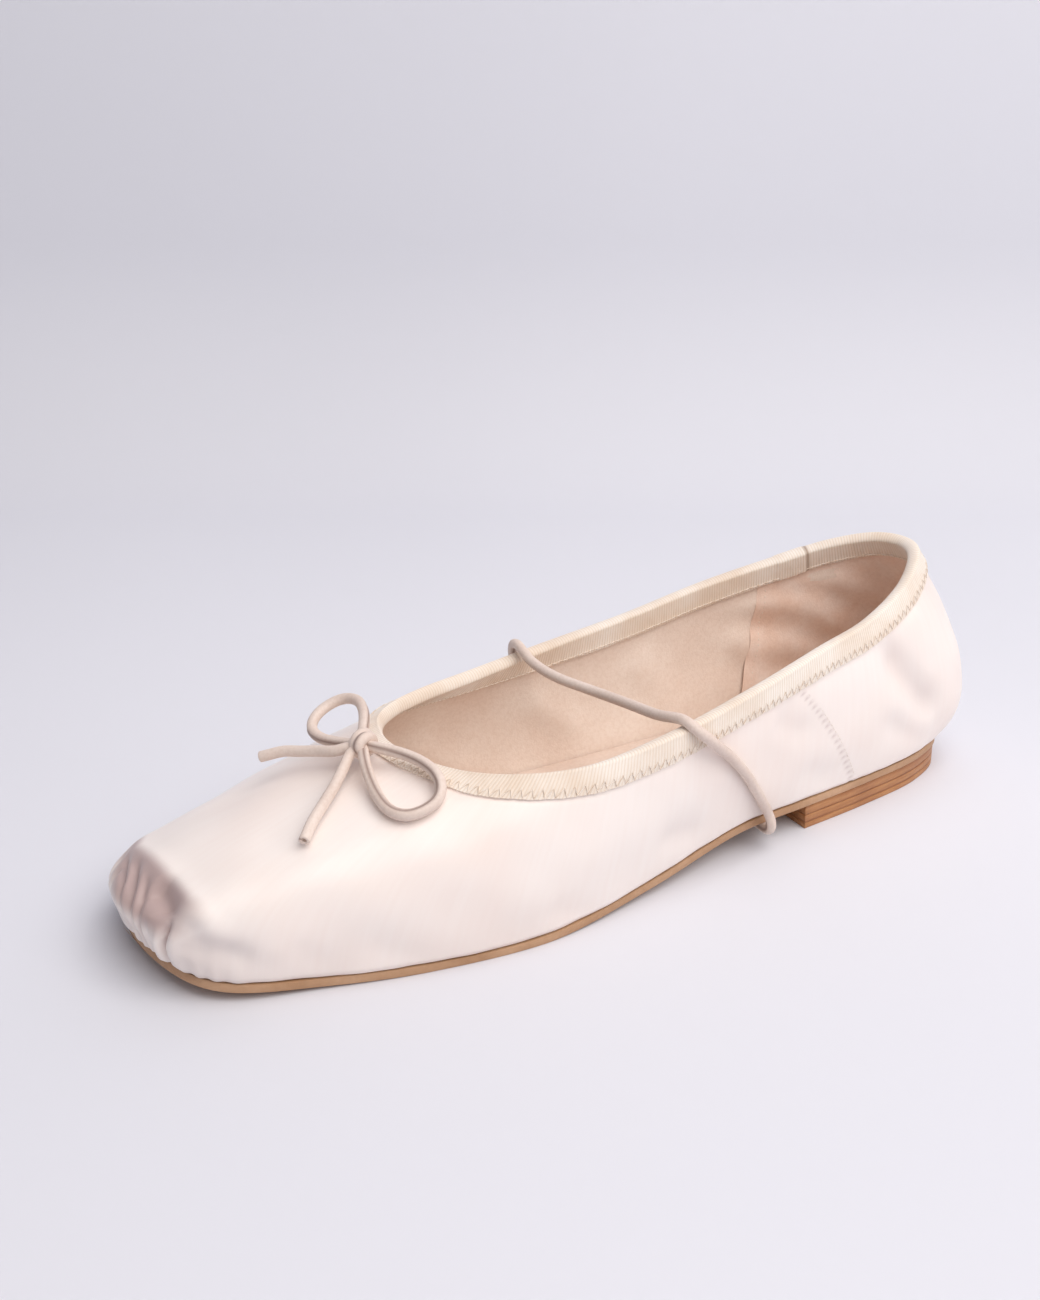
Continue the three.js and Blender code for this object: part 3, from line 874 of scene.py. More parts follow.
@dataclass(frozen=True)
class ThreadFinish:
    """Twisted sewing thread, slightly glossy."""

    name: str = "sewing_thread"
    # dark is painted shade in the grooves of the twist
    light: str = "#f7ece0"
    dark: str = "#e2cfbb"
    twist: float = 0.0007  # metres from twist to twist

    def make(self) -> bpy.types.Material:
        """Builds the material."""
        material, tree, shader = new_material(self.name)
        place = add_node(tree, "TexCoord")
        turns = add_node(tree, "TexWave", {"bands_direction": "DIAGONAL", "Distortion": 0.5,
                                           "Scale": wave_scale(self.twist)},
                         {"Vector": place.outputs["Object"]})
        # darker in the twist's grooves: painted shade
        tint = add_node(tree, "ValToRGB", {"stops": ((0.1, self.dark), (0.6, self.light))},
                        {"Fac": turns.outputs["Fac"]}).outputs["Color"]
        bump = add_node(tree, "Bump", {"Strength": 0.6, "Distance": 0.0001},
                        {"Height": turns.outputs["Fac"]})
        shader.inputs["Roughness"].default_value = 0.5
        tree.links.new(tint, shader.inputs["Base Color"])
        tree.links.new(bump.outputs["Normal"], shader.inputs["Normal"])
        return material


@dataclass(frozen=True)
class StudioFinish:
    """Plain matt pale card for the floor and the wall behind."""

    name: str = "pale_card"
    light: str = "#e2e3ea"
    shade: str = "#dfe0e7"
    clouds: float = 3.0  # soft tone changes in a metre

    def make(self) -> bpy.types.Material:
        """Builds the material."""
        material, tree, shader = new_material(self.name)
        place = add_node(tree, "TexCoord")
        cloud = add_node(tree, "TexNoise", {"Scale": self.clouds, "Detail": 1.0},
                         {"Vector": place.outputs["Object"]})
        tint = add_node(tree, "ValToRGB", {"stops": ((0.3, self.shade), (0.7, self.light))},
                        {"Fac": cloud.outputs["Fac"]}).outputs["Color"]
        shader.inputs["Roughness"].default_value = 0.85
        shader.inputs["Specular IOR Level"].default_value = 0.25
        tree.links.new(tint, shader.inputs["Base Color"])
        return material


@dataclass(frozen=True)
class Finishes:
    """Every finish of the shoe, made once."""

    satin: bpy.types.Material
    tape: bpy.types.Material
    lining: bpy.types.Material
    heel_lining: bpy.types.Material
    sock: bpy.types.Material
    sole: bpy.types.Material
    heel: bpy.types.Material
    cord: bpy.types.Material
    thread: bpy.types.Material

    @classmethod
    def make(cls) -> "Finishes":
        """Builds all materials."""
        return cls(
            satin=SatinFinish().make(),
            tape=TapeFinish().make(),
            lining=LeatherFinish("beige_lining_leather", "#f6e7da", "#eedacb").make(),
            heel_lining=LeatherFinish("brown_heel_lining", "#fbe8db", "#f0d1bd", roughness=0.32,
                                      patch=0.012, coat=0.3).make(),
            sock=LeatherFinish("insole_sock_leather", "#eedccf", "#e2ccbd", roughness=0.5).make(),
            sole=LeatherFinish("tan_sole_leather", "#cda684", "#b48a66", pore=0.0008,
                               roughness=0.55, relief=0.0001, groove_shade="#5f4636").make(),
            heel=LeatherFinish("stacked_heel_leather", "#c9925f", "#ab7347", pore=0.0007,
                               roughness=0.45, layer=0.0021, coat=0.1, groove_shade="#5a3c2a").make(),
            cord=LeatherFinish("rolled_cord_leather", "#ecdcd1", "#dfccc0", pore=0.0004,
                               patch=0.02, roughness=0.45, groove_shade="#876a5f").make(),
            thread=ThreadFinish().make(),
        )


# Studio
@dataclass(frozen=True)
class SoftBox:
    """A square soft box that looks at the shoe, with its size in metres and its power in watts."""

    name: str
    place: Place
    size: float
    power: float
    colour: str
    target: Place = (0.0, 0.0, 0.02)

    def add(self) -> None:
        """Hangs the soft box in the scene."""
        data = bpy.data.lights.new(self.name, "AREA")
        data.shape, data.size, data.energy = "SQUARE", self.size, self.power
        data.color = linear(self.colour)[:3]
        light = bpy.data.objects.new(self.name, data)
        light.location = self.place
        aim = Vector(self.target) - Vector(self.place)
        light.rotation_euler = aim.to_track_quat("-Z", "Y").to_euler()
        bpy.context.scene.collection.objects.link(light)


@dataclass(frozen=True)
class Studio:
    """Camera at the photograph's angle, plain floor with a wall behind, soft light."""

    place: Place = (0.17656, 0.28168, 0.19045)
    azimuth: float = 152.058
    elevation: float = 16.83
    focal_pixels: float = 800.0
    zoom: float = 1.7  # closer crop of the same view, to frame the one shoe
    image: tuple[int, int] = (1040, 1300)
    shift: tuple[float, float] = (0.012, -0.1)
    sensor: float = 36.0
    clip: tuple[float, float] = (0.01, 20.0)
    floor_reach: tuple[float, ...] = (3.0, 1.0, 0.3)  # metres towards the camera
    wall_distance: float = 0.43
    bend_radius: float = 0.12  # where the floor turns up into the wall
    bend_steps: int = 13
    wall_heights: tuple[float, ...] = (0.6, 3.0)
    widths: tuple[float, ...] = (-4.0, -1.0, 0.0, 1.0, 4.0)
    finish: StudioFinish = field(default_factory=StudioFinish)
    boxes: tuple[SoftBox, ...] = (
        SoftBox("key_softbox", (-0.18, 0.61, 1.06), 1.2, 14.6, "#fffaf6"),
        SoftBox("side_softbox", (-1.0, 0.7, 0.7), 0.8, 0.8, "#fffbf9"),
    )
    surroundings: str = "#edebf1"
    surroundings_strength: float = 0.37

    def back(self) -> Vector:
        """Direction from the shoe to the camera."""
        a, e = math.radians(self.azimuth), math.radians(self.elevation)
        return Vector((math.sin(a) * math.cos(e), -math.cos(a) * math.cos(e), math.sin(e)))

    def add_camera(self) -> None:
        """Makes the scene's camera."""
        data = bpy.data.cameras.new("photo_camera")
        data.sensor_width = self.sensor
        data.lens = self.sensor * self.focal_pixels * self.zoom / max(self.image)
        data.shift_x, data.shift_y = self.shift
        data.clip_start, data.clip_end = self.clip
        camera = bpy.data.objects.new("photo_camera", data)
        camera.location = self.place
        camera.rotation_euler = (-self.back()).to_track_quat("-Z", "Y").to_euler()
        bpy.context.scene.collection.objects.link(camera)
        bpy.context.scene.camera = camera

    def add_stage(self) -> None:
        """Makes the floor, which turns up softly into a wall behind the shoe."""
        flat = Vector((self.back().x, self.back().y, 0)).normalized()
        side = Vector((flat.y, -flat.x, 0))
        radius, start = self.bend_radius, -self.wall_distance + self.bend_radius
        profile = [(reach, 0.0) for reach in self.floor_reach]
        profile += [(start - radius * math.sin(t), radius * (1 - math.cos(t)))
                    for t in np.linspace(0, math.pi / 2, self.bend_steps)]
        profile += [(-self.wall_distance, height) for height in self.wall_heights]
        rows = [[flat * reach + side * across + Vector((0, 0, height)) for across in self.widths]
                for reach, height in profile]
        points = np.array(rows) / MM + [MIDDLE_STATION, MIDDLE_SIDE, 0.0]
        stage = lay_grid("studio_floor", points, points[..., :2] * MM, close=False)
        shade(stage, 60)
        stage.data.materials.append(self.finish.make())

    def add_light(self) -> None:
        """Adds the soft boxes and the pale surroundings."""
        for box in self.boxes:
            box.add()
        world = bpy.data.worlds.new("pale_surroundings")
        world.use_nodes = True
        shown = world.node_tree.nodes["Background"]
        shown.inputs["Color"].default_value = linear(self.surroundings)
        shown.inputs["Strength"].default_value = self.surroundings_strength
        bpy.context.scene.world = world
        bpy.context.scene.view_settings.view_transform = "Standard"

    def build(self) -> None:
        """Makes camera, stage and lights."""
        self.add_camera()
        self.add_stage()
        self.add_light()
        LOG.info("studio: camera, floor and lights")


# Cords
CORD_STEEP = 0.2  # under this, a line starts so steeply that X is taken as its upper side
CORD_SEAM_STRAY = 0.35  # radians that a rolled cord's seam strays to either side
CORD_SEAM_WAVE = 0.011  # metres of cord to one radian of the wave in which it strays
CORD_SEAM_WIDTH = 0.3  # radians, of the pressed line
# width and strength of the painted shade along a cord's seam groove
CORD_GROOVE_SHADE_WIDTH = 0.32  # radians, of its darker colour
CORD_GROOVE_SHADE = 0.85
CORD_SHOULDER = 0.8  # radius next to a closed end, as a share


def cord_radii(count: int, radius: float) -> Array:
    """Gives the radius at each point of a cord whose two ends are closed and a little rounded."""
    radii = np.full(count, radius)
    radii[[0, -1]] = 0.0
    radii[[1, -2]] = radius * CORD_SHOULDER
    return radii


def sweep(name: str, centres: Array, radii: Array, sides: int, groove: float = 0.0,
          groove_turn: float = 0.0, lift: Array | None = None) -> bpy.types.Object:
    """Rolls a grid round a centre line into a cord.

    Args:
        name: name of the piece.
        centres: (n, 3) centre line in station, side and height millimetres.
        radii: (n,) radius at each point; a radius near zero closes the end.
        sides: corners round the cord.
        groove: how deep its seam is pressed in, as a share of the radius.
        groove_turn: where round the cord the seam lies, in radians from its upper side.
        lift: (n,) extra move along the line of each ring, for hollow ends.

    Returns:
        The new piece.
    """
    step = np.gradient(centres, axis=0)
    step /= np.linalg.norm(step, axis=1, keepdims=True)
    if lift is not None:
        centres = centres + step * lift[:, None]
    up = np.array([0.0, 0.0, 1.0]) - step[0] * step[0, 2]
    if np.linalg.norm(up) < CORD_STEEP:
        up = np.array([1.0, 0.0, 0.0]) - step[0] * step[0, 0]
    ups = []
    for t in step:
        up = up - t * (up @ t)
        up = up / np.linalg.norm(up)
        ups.append(up)
    ups = np.array(ups)
    across = np.cross(step, ups)
    turn = np.linspace(0, 2 * math.pi, sides + 1)
    run = running(centres) * MM
    seam = groove_turn + CORD_SEAM_STRAY * np.sin(run / CORD_SEAM_WAVE)
    gap = np.angle(np.exp(1j * (turn[None, :] - seam[:, None])))
    dip = 1 - groove * np.exp(-(gap / CORD_SEAM_WIDTH) ** 2)
    ring = radii[:, None] * dip
    points = (centres[:, None] + ups[:, None] * (ring * np.cos(turn))[..., None]
              + across[:, None] * (ring * np.sin(turn))[..., None])
    cloth = np.stack([np.broadcast_to(run[:, None], ring.shape),
                      np.broadcast_to(turn * np.median(radii) * MM, ring.shape)], -1)
    piece = lay_grid(name, points, cloth, close=False)
    # painted shade along the pressed seam groove
    groove_shade = np.exp(-(gap / CORD_GROOVE_SHADE_WIDTH) ** 2) * (CORD_GROOVE_SHADE if groove else 0.0)
    add_attribute(piece, "groove_shade", np.broadcast_to(groove_shade, ring.shape))
    merge_doubles(piece, 4e-6)
    with editing(piece):
        bpy.ops.mesh.normals_make_consistent(inside=False)
    shade(piece, 50)
    return piece


@dataclass(frozen=True)
class InstepCord:
    """The thin rolled cord that crosses the instep, its ends run under the sole's two edges."""

    radius: float = 1.4
    sides: int = 20
    steps: int = 260
    groove: float = 0.2
    route: tuple[Place, ...] = (
        (86.4, 12.5, 5.4), (86.4, 20, 5.4), (86.4, 26.4, 5.4), (86.6, 29.4, 5.6),
        (86.9, 31.1, 6.7), (87.2, 31.7, 8.2), (87.6, 31.7, 9.9), (88.2, 31.4, 11.6),
        (89.8, 32.2, 14.1), (91.8, 33.1, 16.8), (93.7, 33.9, 19.6), (95.7, 34.6, 22.3),
        (97.9, 35.3, 25.4), (100.1, 36, 28.2), (102.4, 36.6, 30.9), (105, 37.2, 33.7),
        (107.4, 37.7, 36.1), (109.7, 38.4, 38.1), (112.6, 39.6, 40.7), (115, 40, 42.8),
        (117.3, 39.9, 44.9), (119, 38.6, 46.5), (120, 36.2, 47.5), (120.9, 33.4, 47.3),
        (121.7, 31, 46.8), (122.2, 27, 45.9), (122.4, 21.4, 45), (123.4, 13.5, 44.2),
        (124.9, 5.8, 43.6), (127, -1.2, 43.4), (129.4, -8.1, 43.5), (130.9, -14.5, 43.9),
        (131.7, -20.4, 44.8), (132, -24.2, 46.2), (131.9, -27.2, 46.9), (131.7, -30, 46.2),
        (131.2, -31.6, 44), (130.2, -32.8, 40.6), (127.9, -33.1, 36.4), (123.8, -32.8, 31.1),
        (118.8, -32.5, 26), (113.7, -31.6, 20.8), (109.2, -30.1, 15.7), (105.9, -28.6, 11.1),
        (104.8, -28.2, 8.8), (104.4, -28.1, 6.4), (104.2, -26.9, 4.6), (104, -23.6, 4.1),
        (103.9, -18, 4.1), (103.8, -10.5, 4.1),
    )

    def build(self, finishes: Finishes) -> None:
        """Args:
            finishes: the shoe's materials.
        """
        line = open_spline(list(self.route), self.steps)
        radii = cord_radii(len(line), self.radius)
        piece = sweep("instep_cord", line, radii, self.sides, self.groove, groove_turn=1.1)
        finish_piece(piece, finishes.cord, ("instep_strap",))


@dataclass(frozen=True)
class Bow:
    """The small cord bow at the throat: two loops, two cut ends and a wrapped knot."""

    radius: float = 1.4
    sides: int = 20
    groove: float = 0.2
    loop_steps: int = 120
    loop_smoothing: int = 14  # how often a loop's line is evened out
    loop_stop: float = 0.2  # how far from the knot's middle a loop's ends stop, as a share
    tail_steps: int = 60
    tail_stop: float = 0.38
    lateral_loop: tuple[Place, ...] = (
        (189.9, 8.6, 44.4), (187.6, 10.6, 44.2), (185.1, 13.7, 43.9), (182.6, 18.6, 43.5),
        (181.3, 23.8, 42.6), (181.4, 26.9, 40.9), (183.5, 29.4, 38.8), (187.3, 30.1, 37.5),
        (191.3, 29.3, 36.8), (194, 26.4, 37.2), (194.7, 21.7, 38.3), (194.4, 16.6, 39.6),
        (193.9, 12.2, 41.4), (193.2, 8.6, 43.5),
    )
    medial_loop: tuple[Place, ...] = (
        (190, 0.6, 45), (188.3, -2.6, 46), (186.4, -7.6, 46.9), (185.8, -13, 47.2),
        (188, -17, 46.6), (192.2, -17.8, 45.1), (196, -16.4, 43.5), (198.2, -13.6, 42),
        (197.7, -9.4, 41.2), (195.7, -4.4, 41.7), (193.6, 0.6, 42.8),
    )
    medial_tail: tuple[Place, ...] = (
        (195.3, 3, 43.1), (197.9, 1.3, 42.2), (200.7, -2.7, 41.1), (203.7, -6.2, 40.2),
        (207, -9.5, 39.5), (210.6, -11.7, 38.3), (211.8, -12.6, 37.8),
    )
    lateral_tail: tuple[Place, ...] = (
        (195.4, 5.6, 42.7), (198.2, 8.2, 40.9), (201.9, 11.9, 38.9), (206.3, 15.9, 37.1),
        (210.6, 19.8, 35.3), (213.8, 23.2, 33.5),
    )
    # Past its last point a tail is open: radii as shares of its own, and moves along it.
    cut_radii: tuple[float, ...] = (0.96, 0.84, 0.5, 0.42, 0.0)
    cut_moves: tuple[float, ...] = (0.08, 0.14, 0.02, -0.9, -1.1)
    knot_centre: Place = (191.5, 4.4, 43.9)
    knot_turns: tuple[float, float] = (-1.25, 2.9)  # where it starts and ends, in half turns
    knot_steps: int = 190
    knot_radius: float = 1.5
    knot_reach: float = 2.15
    knot_width: float = 4.2
    knot_skew: float = 0.5
    knot_groove: float = 0.14

    def near_knot(self, point: Place, stop: float) -> Place:
        """Gives the place that is a share of the way from the knot's middle to a point."""
        return tuple((1 - stop) * k + stop * p for k, p in zip(self.knot_centre, point))

    def loop(self, name: str, route: tuple[Place, ...], node: str, finishes: Finishes,
             ) -> tuple[bpy.types.Object, Array]:
        """Makes one loop, its two ends running into the knot.

        Args:
            name: name of the piece.
            route: the loop's centre line.
            node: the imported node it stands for.
            finishes: the shoe's materials.

        Returns:
            The piece and its centre line.
        """
        first, last = (self.near_knot(route[i], self.loop_stop) for i in (0, -1))
        line = open_spline([first, *route, last], self.loop_steps)
        even_out(line, self.loop_smoothing)
        radii = cord_radii(len(line), self.radius)
        piece = sweep(name, line, radii, self.sides, self.groove, groove_turn=0.9)
        return finish_piece(piece, finishes.cord, (node,)), line

    def tail(self, name: str, route: tuple[Place, ...], node: str,
             finishes: Finishes) -> bpy.types.Object:
        """Makes one cut end, open like the rolled leather that it is.

        Args:
            name: name of the piece.
            route: its centre line, from the knot out.
            node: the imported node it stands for.
            finishes: the shoe's materials.

        Returns:
            The piece.
        """
        start = self.near_knot(route[0], self.tail_stop)
        line = open_spline([start, *route], self.tail_steps)
        cuts = len(self.cut_radii)
        ahead = (line[-1] - line[-2]) * np.arange(1, cuts + 1)[:, None] * 0.02
        cut = np.multiply(self.cut_radii, self.radius)
        radii = np.concatenate([cord_radii(len(line), self.radius), cut])
        radii[len(line) - 2:len(line)] = self.radius
        lift = np.concatenate([np.zeros(len(line)), self.cut_moves])
        line = np.vstack([line, np.repeat(line[-1:], cuts, axis=0) + ahead])
        piece = sweep(name, line, radii, self.sides, self.groove, groove_turn=0.8, lift=lift)
        return finish_piece(piece, finishes.cord, (node,))

    def knot(self, finishes: Finishes) -> bpy.types.Object:
        """Winds two turns of cord round the crossing.

        Args:
            finishes: the shoe's materials.

        Returns:
            The piece.
        """
        first, last = self.knot_turns
        turn = np.linspace(first * math.pi, last * math.pi, self.knot_steps)
        run = np.linspace(-0.5, 0.5, self.knot_steps)
        x, y, z = self.knot_centre
        reach = self.knot_reach * smooth(0.5, 0.36, np.abs(run)) + 0.05
        skew = self.knot_skew * np.sin(turn)
        line = np.stack([x + reach * np.sin(turn), y + run * self.knot_width + skew,
                         z + reach * np.cos(turn)], 1)
        radii = self.knot_radius * (0.35 + 0.65 * smooth(0.5, 0.42, np.abs(run)))
        radii[[0, -1]] = 0.0
        radii[[1, -2]] = 0.5
        piece = sweep("bow_knot_wrap", line, radii, self.sides, self.knot_groove, groove_turn=0.4)
        return finish_piece(piece, finishes.cord, ("bow_knot",))

    def build(self, finishes: Finishes) -> None:
        """Args:
            finishes: the shoe's materials.
        """
        outer, outer_line = self.loop("bow_loop_outer", self.lateral_loop, "bow_loop_lateral", finishes)
        inner, inner_line = self.loop("bow_loop_inner", self.medial_loop, "bow_loop_medial", finishes)
        knot = self.knot(finishes)
        ends = [self.tail("bow_tail_outer", self.lateral_tail, "bow_end_lateral", finishes),
                self.tail("bow_tail_inner", self.medial_tail, "bow_end_medial", finishes)]


# Upper
@dataclass
class SatinUpper:
    """The outer satin, pulled over the last, gathered at the toe and dented along its sides."""

    last: Last
    columns: int = 520
    rows: int = 84
    toe_share: float = 3.0  # how much denser its columns are round the toe
    foot_share: float = 1.15  # over 1, its rows lie closer near the sole
    thickness: float = 0.75
    edge_drop: float = 1.1
    tape_depth: float = 7.4
    seams: tuple[SideSeam, ...] = (SideSeam(Side.LATERAL), SideSeam(Side.MEDIAL))
    # The square toe's upper edge: side offsets and the stations that it runs through.
    crown_sides: tuple[float, ...] = (-29, -23, -14, -4.3, 8.3, 18.6, 25.6)
    crown_stations: tuple[float, ...] = (235, 240, 243.2, 242.6, 241.3, 239.6, 236.8)
    # Painted shades of folds, of the toe's front face and outer corner, and of the seams.
    fold_shade_strength: float = 0.8
    front_painted_shade: float = 0.95
    corner_painted_shade: float = 0.24
    seam_painted_shade: float = 0.45
    unevenness: float = 0.16
    gathers: int = 64
    gather_depth: float = 0.05
    toe_gather_depth: float = 0.17
    gather_height: float = 3.2
    puckers: int = 150
    pucker_depth: float = 0.04
    tape_press: float = 0.15
    seam_press: float = 0.22
    allowance_rise: float = 0.14  # the seam's turned edges, behind it
    allowance_back: float = 1.3
    turn_height: float = 1.8  # where the satin starts to turn in under the sole
    turn_in: float = 0.6

    def tint(self, points: Array, fold_shade: Array) -> Array:
        """How dark the satin's painted shade is at each point.

        Args:
            points: (n, 3) station, side and height on the last.
            fold_shade: (n,) the painted shade that the creases give each point.

        Returns:
            Painted shades from 0 to 1.
        """
        x, y, z = points.T
        # painted shade on the toe's front face under its upper edge, and on its dented outer corner
        past = x - np.interp(y, self.crown_sides, self.crown_stations)
        front = self.front_painted_shade * smooth(-2.4, 1.0, past) * smooth(13.5, 18.5, z) * smooth(27, 16, y)
        corner = self.corner_painted_shade * smooth(223, 238, x) * smooth(18, 24, y) * smooth(21, 16, z)
        shadow = np.maximum(fold_shade * self.fold_shade_strength, np.maximum(front, corner))
        # painted shade along the pressed line of each side seam
        for seam in self.seams:
            off = seam.offset(points)
            shadow = np.maximum(shadow, self.seam_painted_shade * np.exp(-(off / 0.32) ** 2))
        return shadow

    def relief(self, points: Array, u: Array, depth: Array, height: Array) -> tuple[Array, Array]:
        """How far each point moves out of the plain last form, and how dark its painted shade is.

        Args:
            points: (n, 3) station, side and height on the last.
            u: (n,) places round the shoe.
            depth: (n,) depth below the collar edge.
            height: (n,) length along the wall above the feather line.

        Returns:
            Outward moves in millimetres, and painted shades from 0 to 1.
        """
        free = smooth(self.tape_depth - 1, self.tape_depth + 3, depth)
        push, fold_shade = crease_push(points, points[::2])
        out = -push * free
        x, y, z = points.T
        # the slow unevenness of cloth that is pulled by hand
        soft = (np.sin(x * 0.11 + z * 0.19 + 1.3) * np.sin(y * 0.13 - z * 0.16 + 0.4)
                + 0.6 * np.sin(x * 0.23 - z * 0.31 + 2.1) * np.sin(x * 0.05 + y * 0.21))
        out += self.unevenness * soft * free
        # small gathers where the satin is drawn under the sole, strongest round the toe
        gather = np.sin(u * 2 * np.pi * self.gathers + 1.2 * np.sin(u * 2 * np.pi * 9))
        deep = self.gather_depth + self.toe_gather_depth * smooth(222, 240, x)
        out += gather * np.exp(-height / self.gather_height) * deep
        # puckers under the tape's stitching, and the line that it presses in
        pucker = self.pucker_depth * np.sin(u * 2 * np.pi * self.puckers)
        out += pucker * np.exp(-np.abs(depth - self.tape_depth - 0.6) / 1.6)
        out -= self.tape_press * np.exp(-((depth - self.tape_depth) / 0.9) ** 2)
        for seam in self.seams:
            off = seam.offset(points)
            out -= self.seam_press * np.exp(-(off / 0.4) ** 2) * smooth(5, 8, depth)
            out += self.allowance_rise * np.exp(-((off + self.allowance_back) / 1.0) ** 2)
        out -= self.turn_in * smooth(self.turn_height, 0.0, height) ** 2
        return out, self.tint(points, fold_shade)

    def build(self, finishes: Finishes) -> None:
        """Makes the satin.

        Args:
            finishes: the shoe's materials.
        """
        u = self.last.columns(self.columns, self.toe_share)
        foot_v = np.linspace(0, 1, self.rows) ** self.foot_share
        top_v = self.last.depth_to_v(u, np.full((1, len(u)), self.edge_drop))[0]
        v = top_v[None, :] * foot_v[::-1, None]
        uu = np.broadcast_to(u, v.shape)
        base = self.last.wall(uu, v)
        depth = self.edge_drop + running(base)
        height = depth[-1] - depth
        out, shadow = self.relief(base.reshape(-1, 3), uu.reshape(-1), depth.reshape(-1),
                                  height.reshape(-1))
        points = base + self.last.normal(uu, v) * out.reshape(v.shape)[..., None]
        around = running(base[len(base) // 2])
        cloth = np.stack([np.broadcast_to(around, v.shape), height], -1) * MM
        piece = lay_grid("satin_outer", points, cloth, close=False)
        # the painted shade of creases, toe front and seams, for the satin's finish
        add_attribute(piece, "fold_shade", shadow)
        merge_doubles(piece)
        thicken(piece, self.thickness)
        shade(piece, 60)
        finish_piece(piece, finishes.satin, ("upper",))


@dataclass
class Lining:
    """Beige lining leather of the whole inside, with a darker glossy heel lining sewn over it."""

    last: Last
    columns: int = 300
    rows: int = 44
    foot_v: float = 0.006  # share of the wall at which it starts, where the insole hides it
    inset: float = 1.6
    top_depth: float = 4.0
    thickness: float = 0.7
    crease_share: float = 0.95  # how much of the satin's dents shows on the inside
    heel_front: float = 53.5  # station of the heel lining's front seam
    heel_inset: float = 1.8
    heel_top_depth: float = 4.6
    heel_thickness: float = 0.12
    heel_folds: float = 0.75
    slant: float = 0.12

    def surface(self, u: Array, inset: float, top_depth: float,
                slant: float = 0.0) -> tuple[Array, Array, Array]:
        """The lining's visible side between the insole and the tape.

        Args:
            u: places round the shoe.
            inset: how far inside the last's face it lies.
            top_depth: depth of its upper edge below the collar.
            slant: how much longer its low rows reach forward than its high ones, as a share.

        Returns:
            Points with rows from low to high, lengths round and up, and the last's points there.
        """
        top = self.last.depth_to_v(u, np.full((1, len(u)), top_depth))[0]
        up_share = np.linspace(0, 1, self.rows)[:, None]
        v = self.foot_v + (top - self.foot_v)[None, :] * up_share
        uu = u[None, :] * (1 + slant * (0.5 - up_share))
        base = self.last.wall(uu, v)
        x, y, z = base[..., 0], base[..., 1], base[..., 2]
        up = running(base)
        below = up[-1] - up
        # the heel's folds, which run round it at a slant and fade towards the front
        wave = np.sin(z * 0.44 - 0.12 * x + 0.6 * np.sin(x * 0.12))
        wave *= smooth(8, 16, z) * smooth(4.0, 10.0, below)
        soft = np.sin(x * 0.09 + z * 0.2) * np.sin(y * 0.12 + z * 0.15)
        heel = smooth(70, 40, x)
        relief = -self.heel_folds * heel * (smooth(3.0, 9.0, below) + wave) - 0.12 * (1 + soft)
        push, _ = crease_push(base.reshape(-1, 3), base.reshape(-1, 3))
        relief -= self.crease_share * np.maximum(push.reshape(v.shape), 0) * smooth(3.0, 7.5, below)
        ahead = 0.9 * smooth(200, 225, x)  # further in at the toe, clear of the pleats
        points = base + self.last.normal(uu, v) * (-inset + relief - ahead)[..., None]
        around = running(base[self.rows // 2])
        return points, np.stack([np.broadcast_to(around, v.shape), up], -1) * MM, base

    def build(self, finishes: Finishes) -> None:
        """Makes the lining and the heel lining.

        Args:
            finishes: the shoe's materials.
        """
        u = self.last.columns(self.columns)
        points, cloth, _ = self.surface(u, self.inset, self.top_depth)
        piece = lay_grid("lining_leather", points, cloth)
        thicken(piece, self.thickness)
        shade(piece, 60)
        finish_piece(piece, finishes.lining, ("upper",))
        near = self.last.loop(FEATHER, u)[:, 0] * 0.5 + self.last.loop(COLLAR, u)[:, 0] * 0.5
        half = len(u) // 2
        front = int(np.argmax(near[:half] > self.heel_front))
        back = len(u) - 1 - int(np.argmax(near[::-1][:half] > self.heel_front))
        ring = np.concatenate([u[back:-1] - 1.0, u[:front + 1]])
        points, cloth, base = self.surface(ring, self.heel_inset, self.heel_top_depth, self.slant)
        patch = lay_grid("heel_lining_leather", points, cloth)
        thicken(patch, self.heel_thickness)
        shade(patch, 60)
        finish_piece(patch, finishes.heel_lining)
        sewing = SeamStitches(self.last, length=0.9, pitch=1.8, thickness=0.2)
        for edge, seam_name in ((2, "inner"), (-3, "outer")):
            line, wall = points[6:-3, edge], base[6:-3, edge]
            sewing.row(f"heel_lining_stitches_{seam_name}", line, line - wall, finishes.thread,
                       "lining_leather")


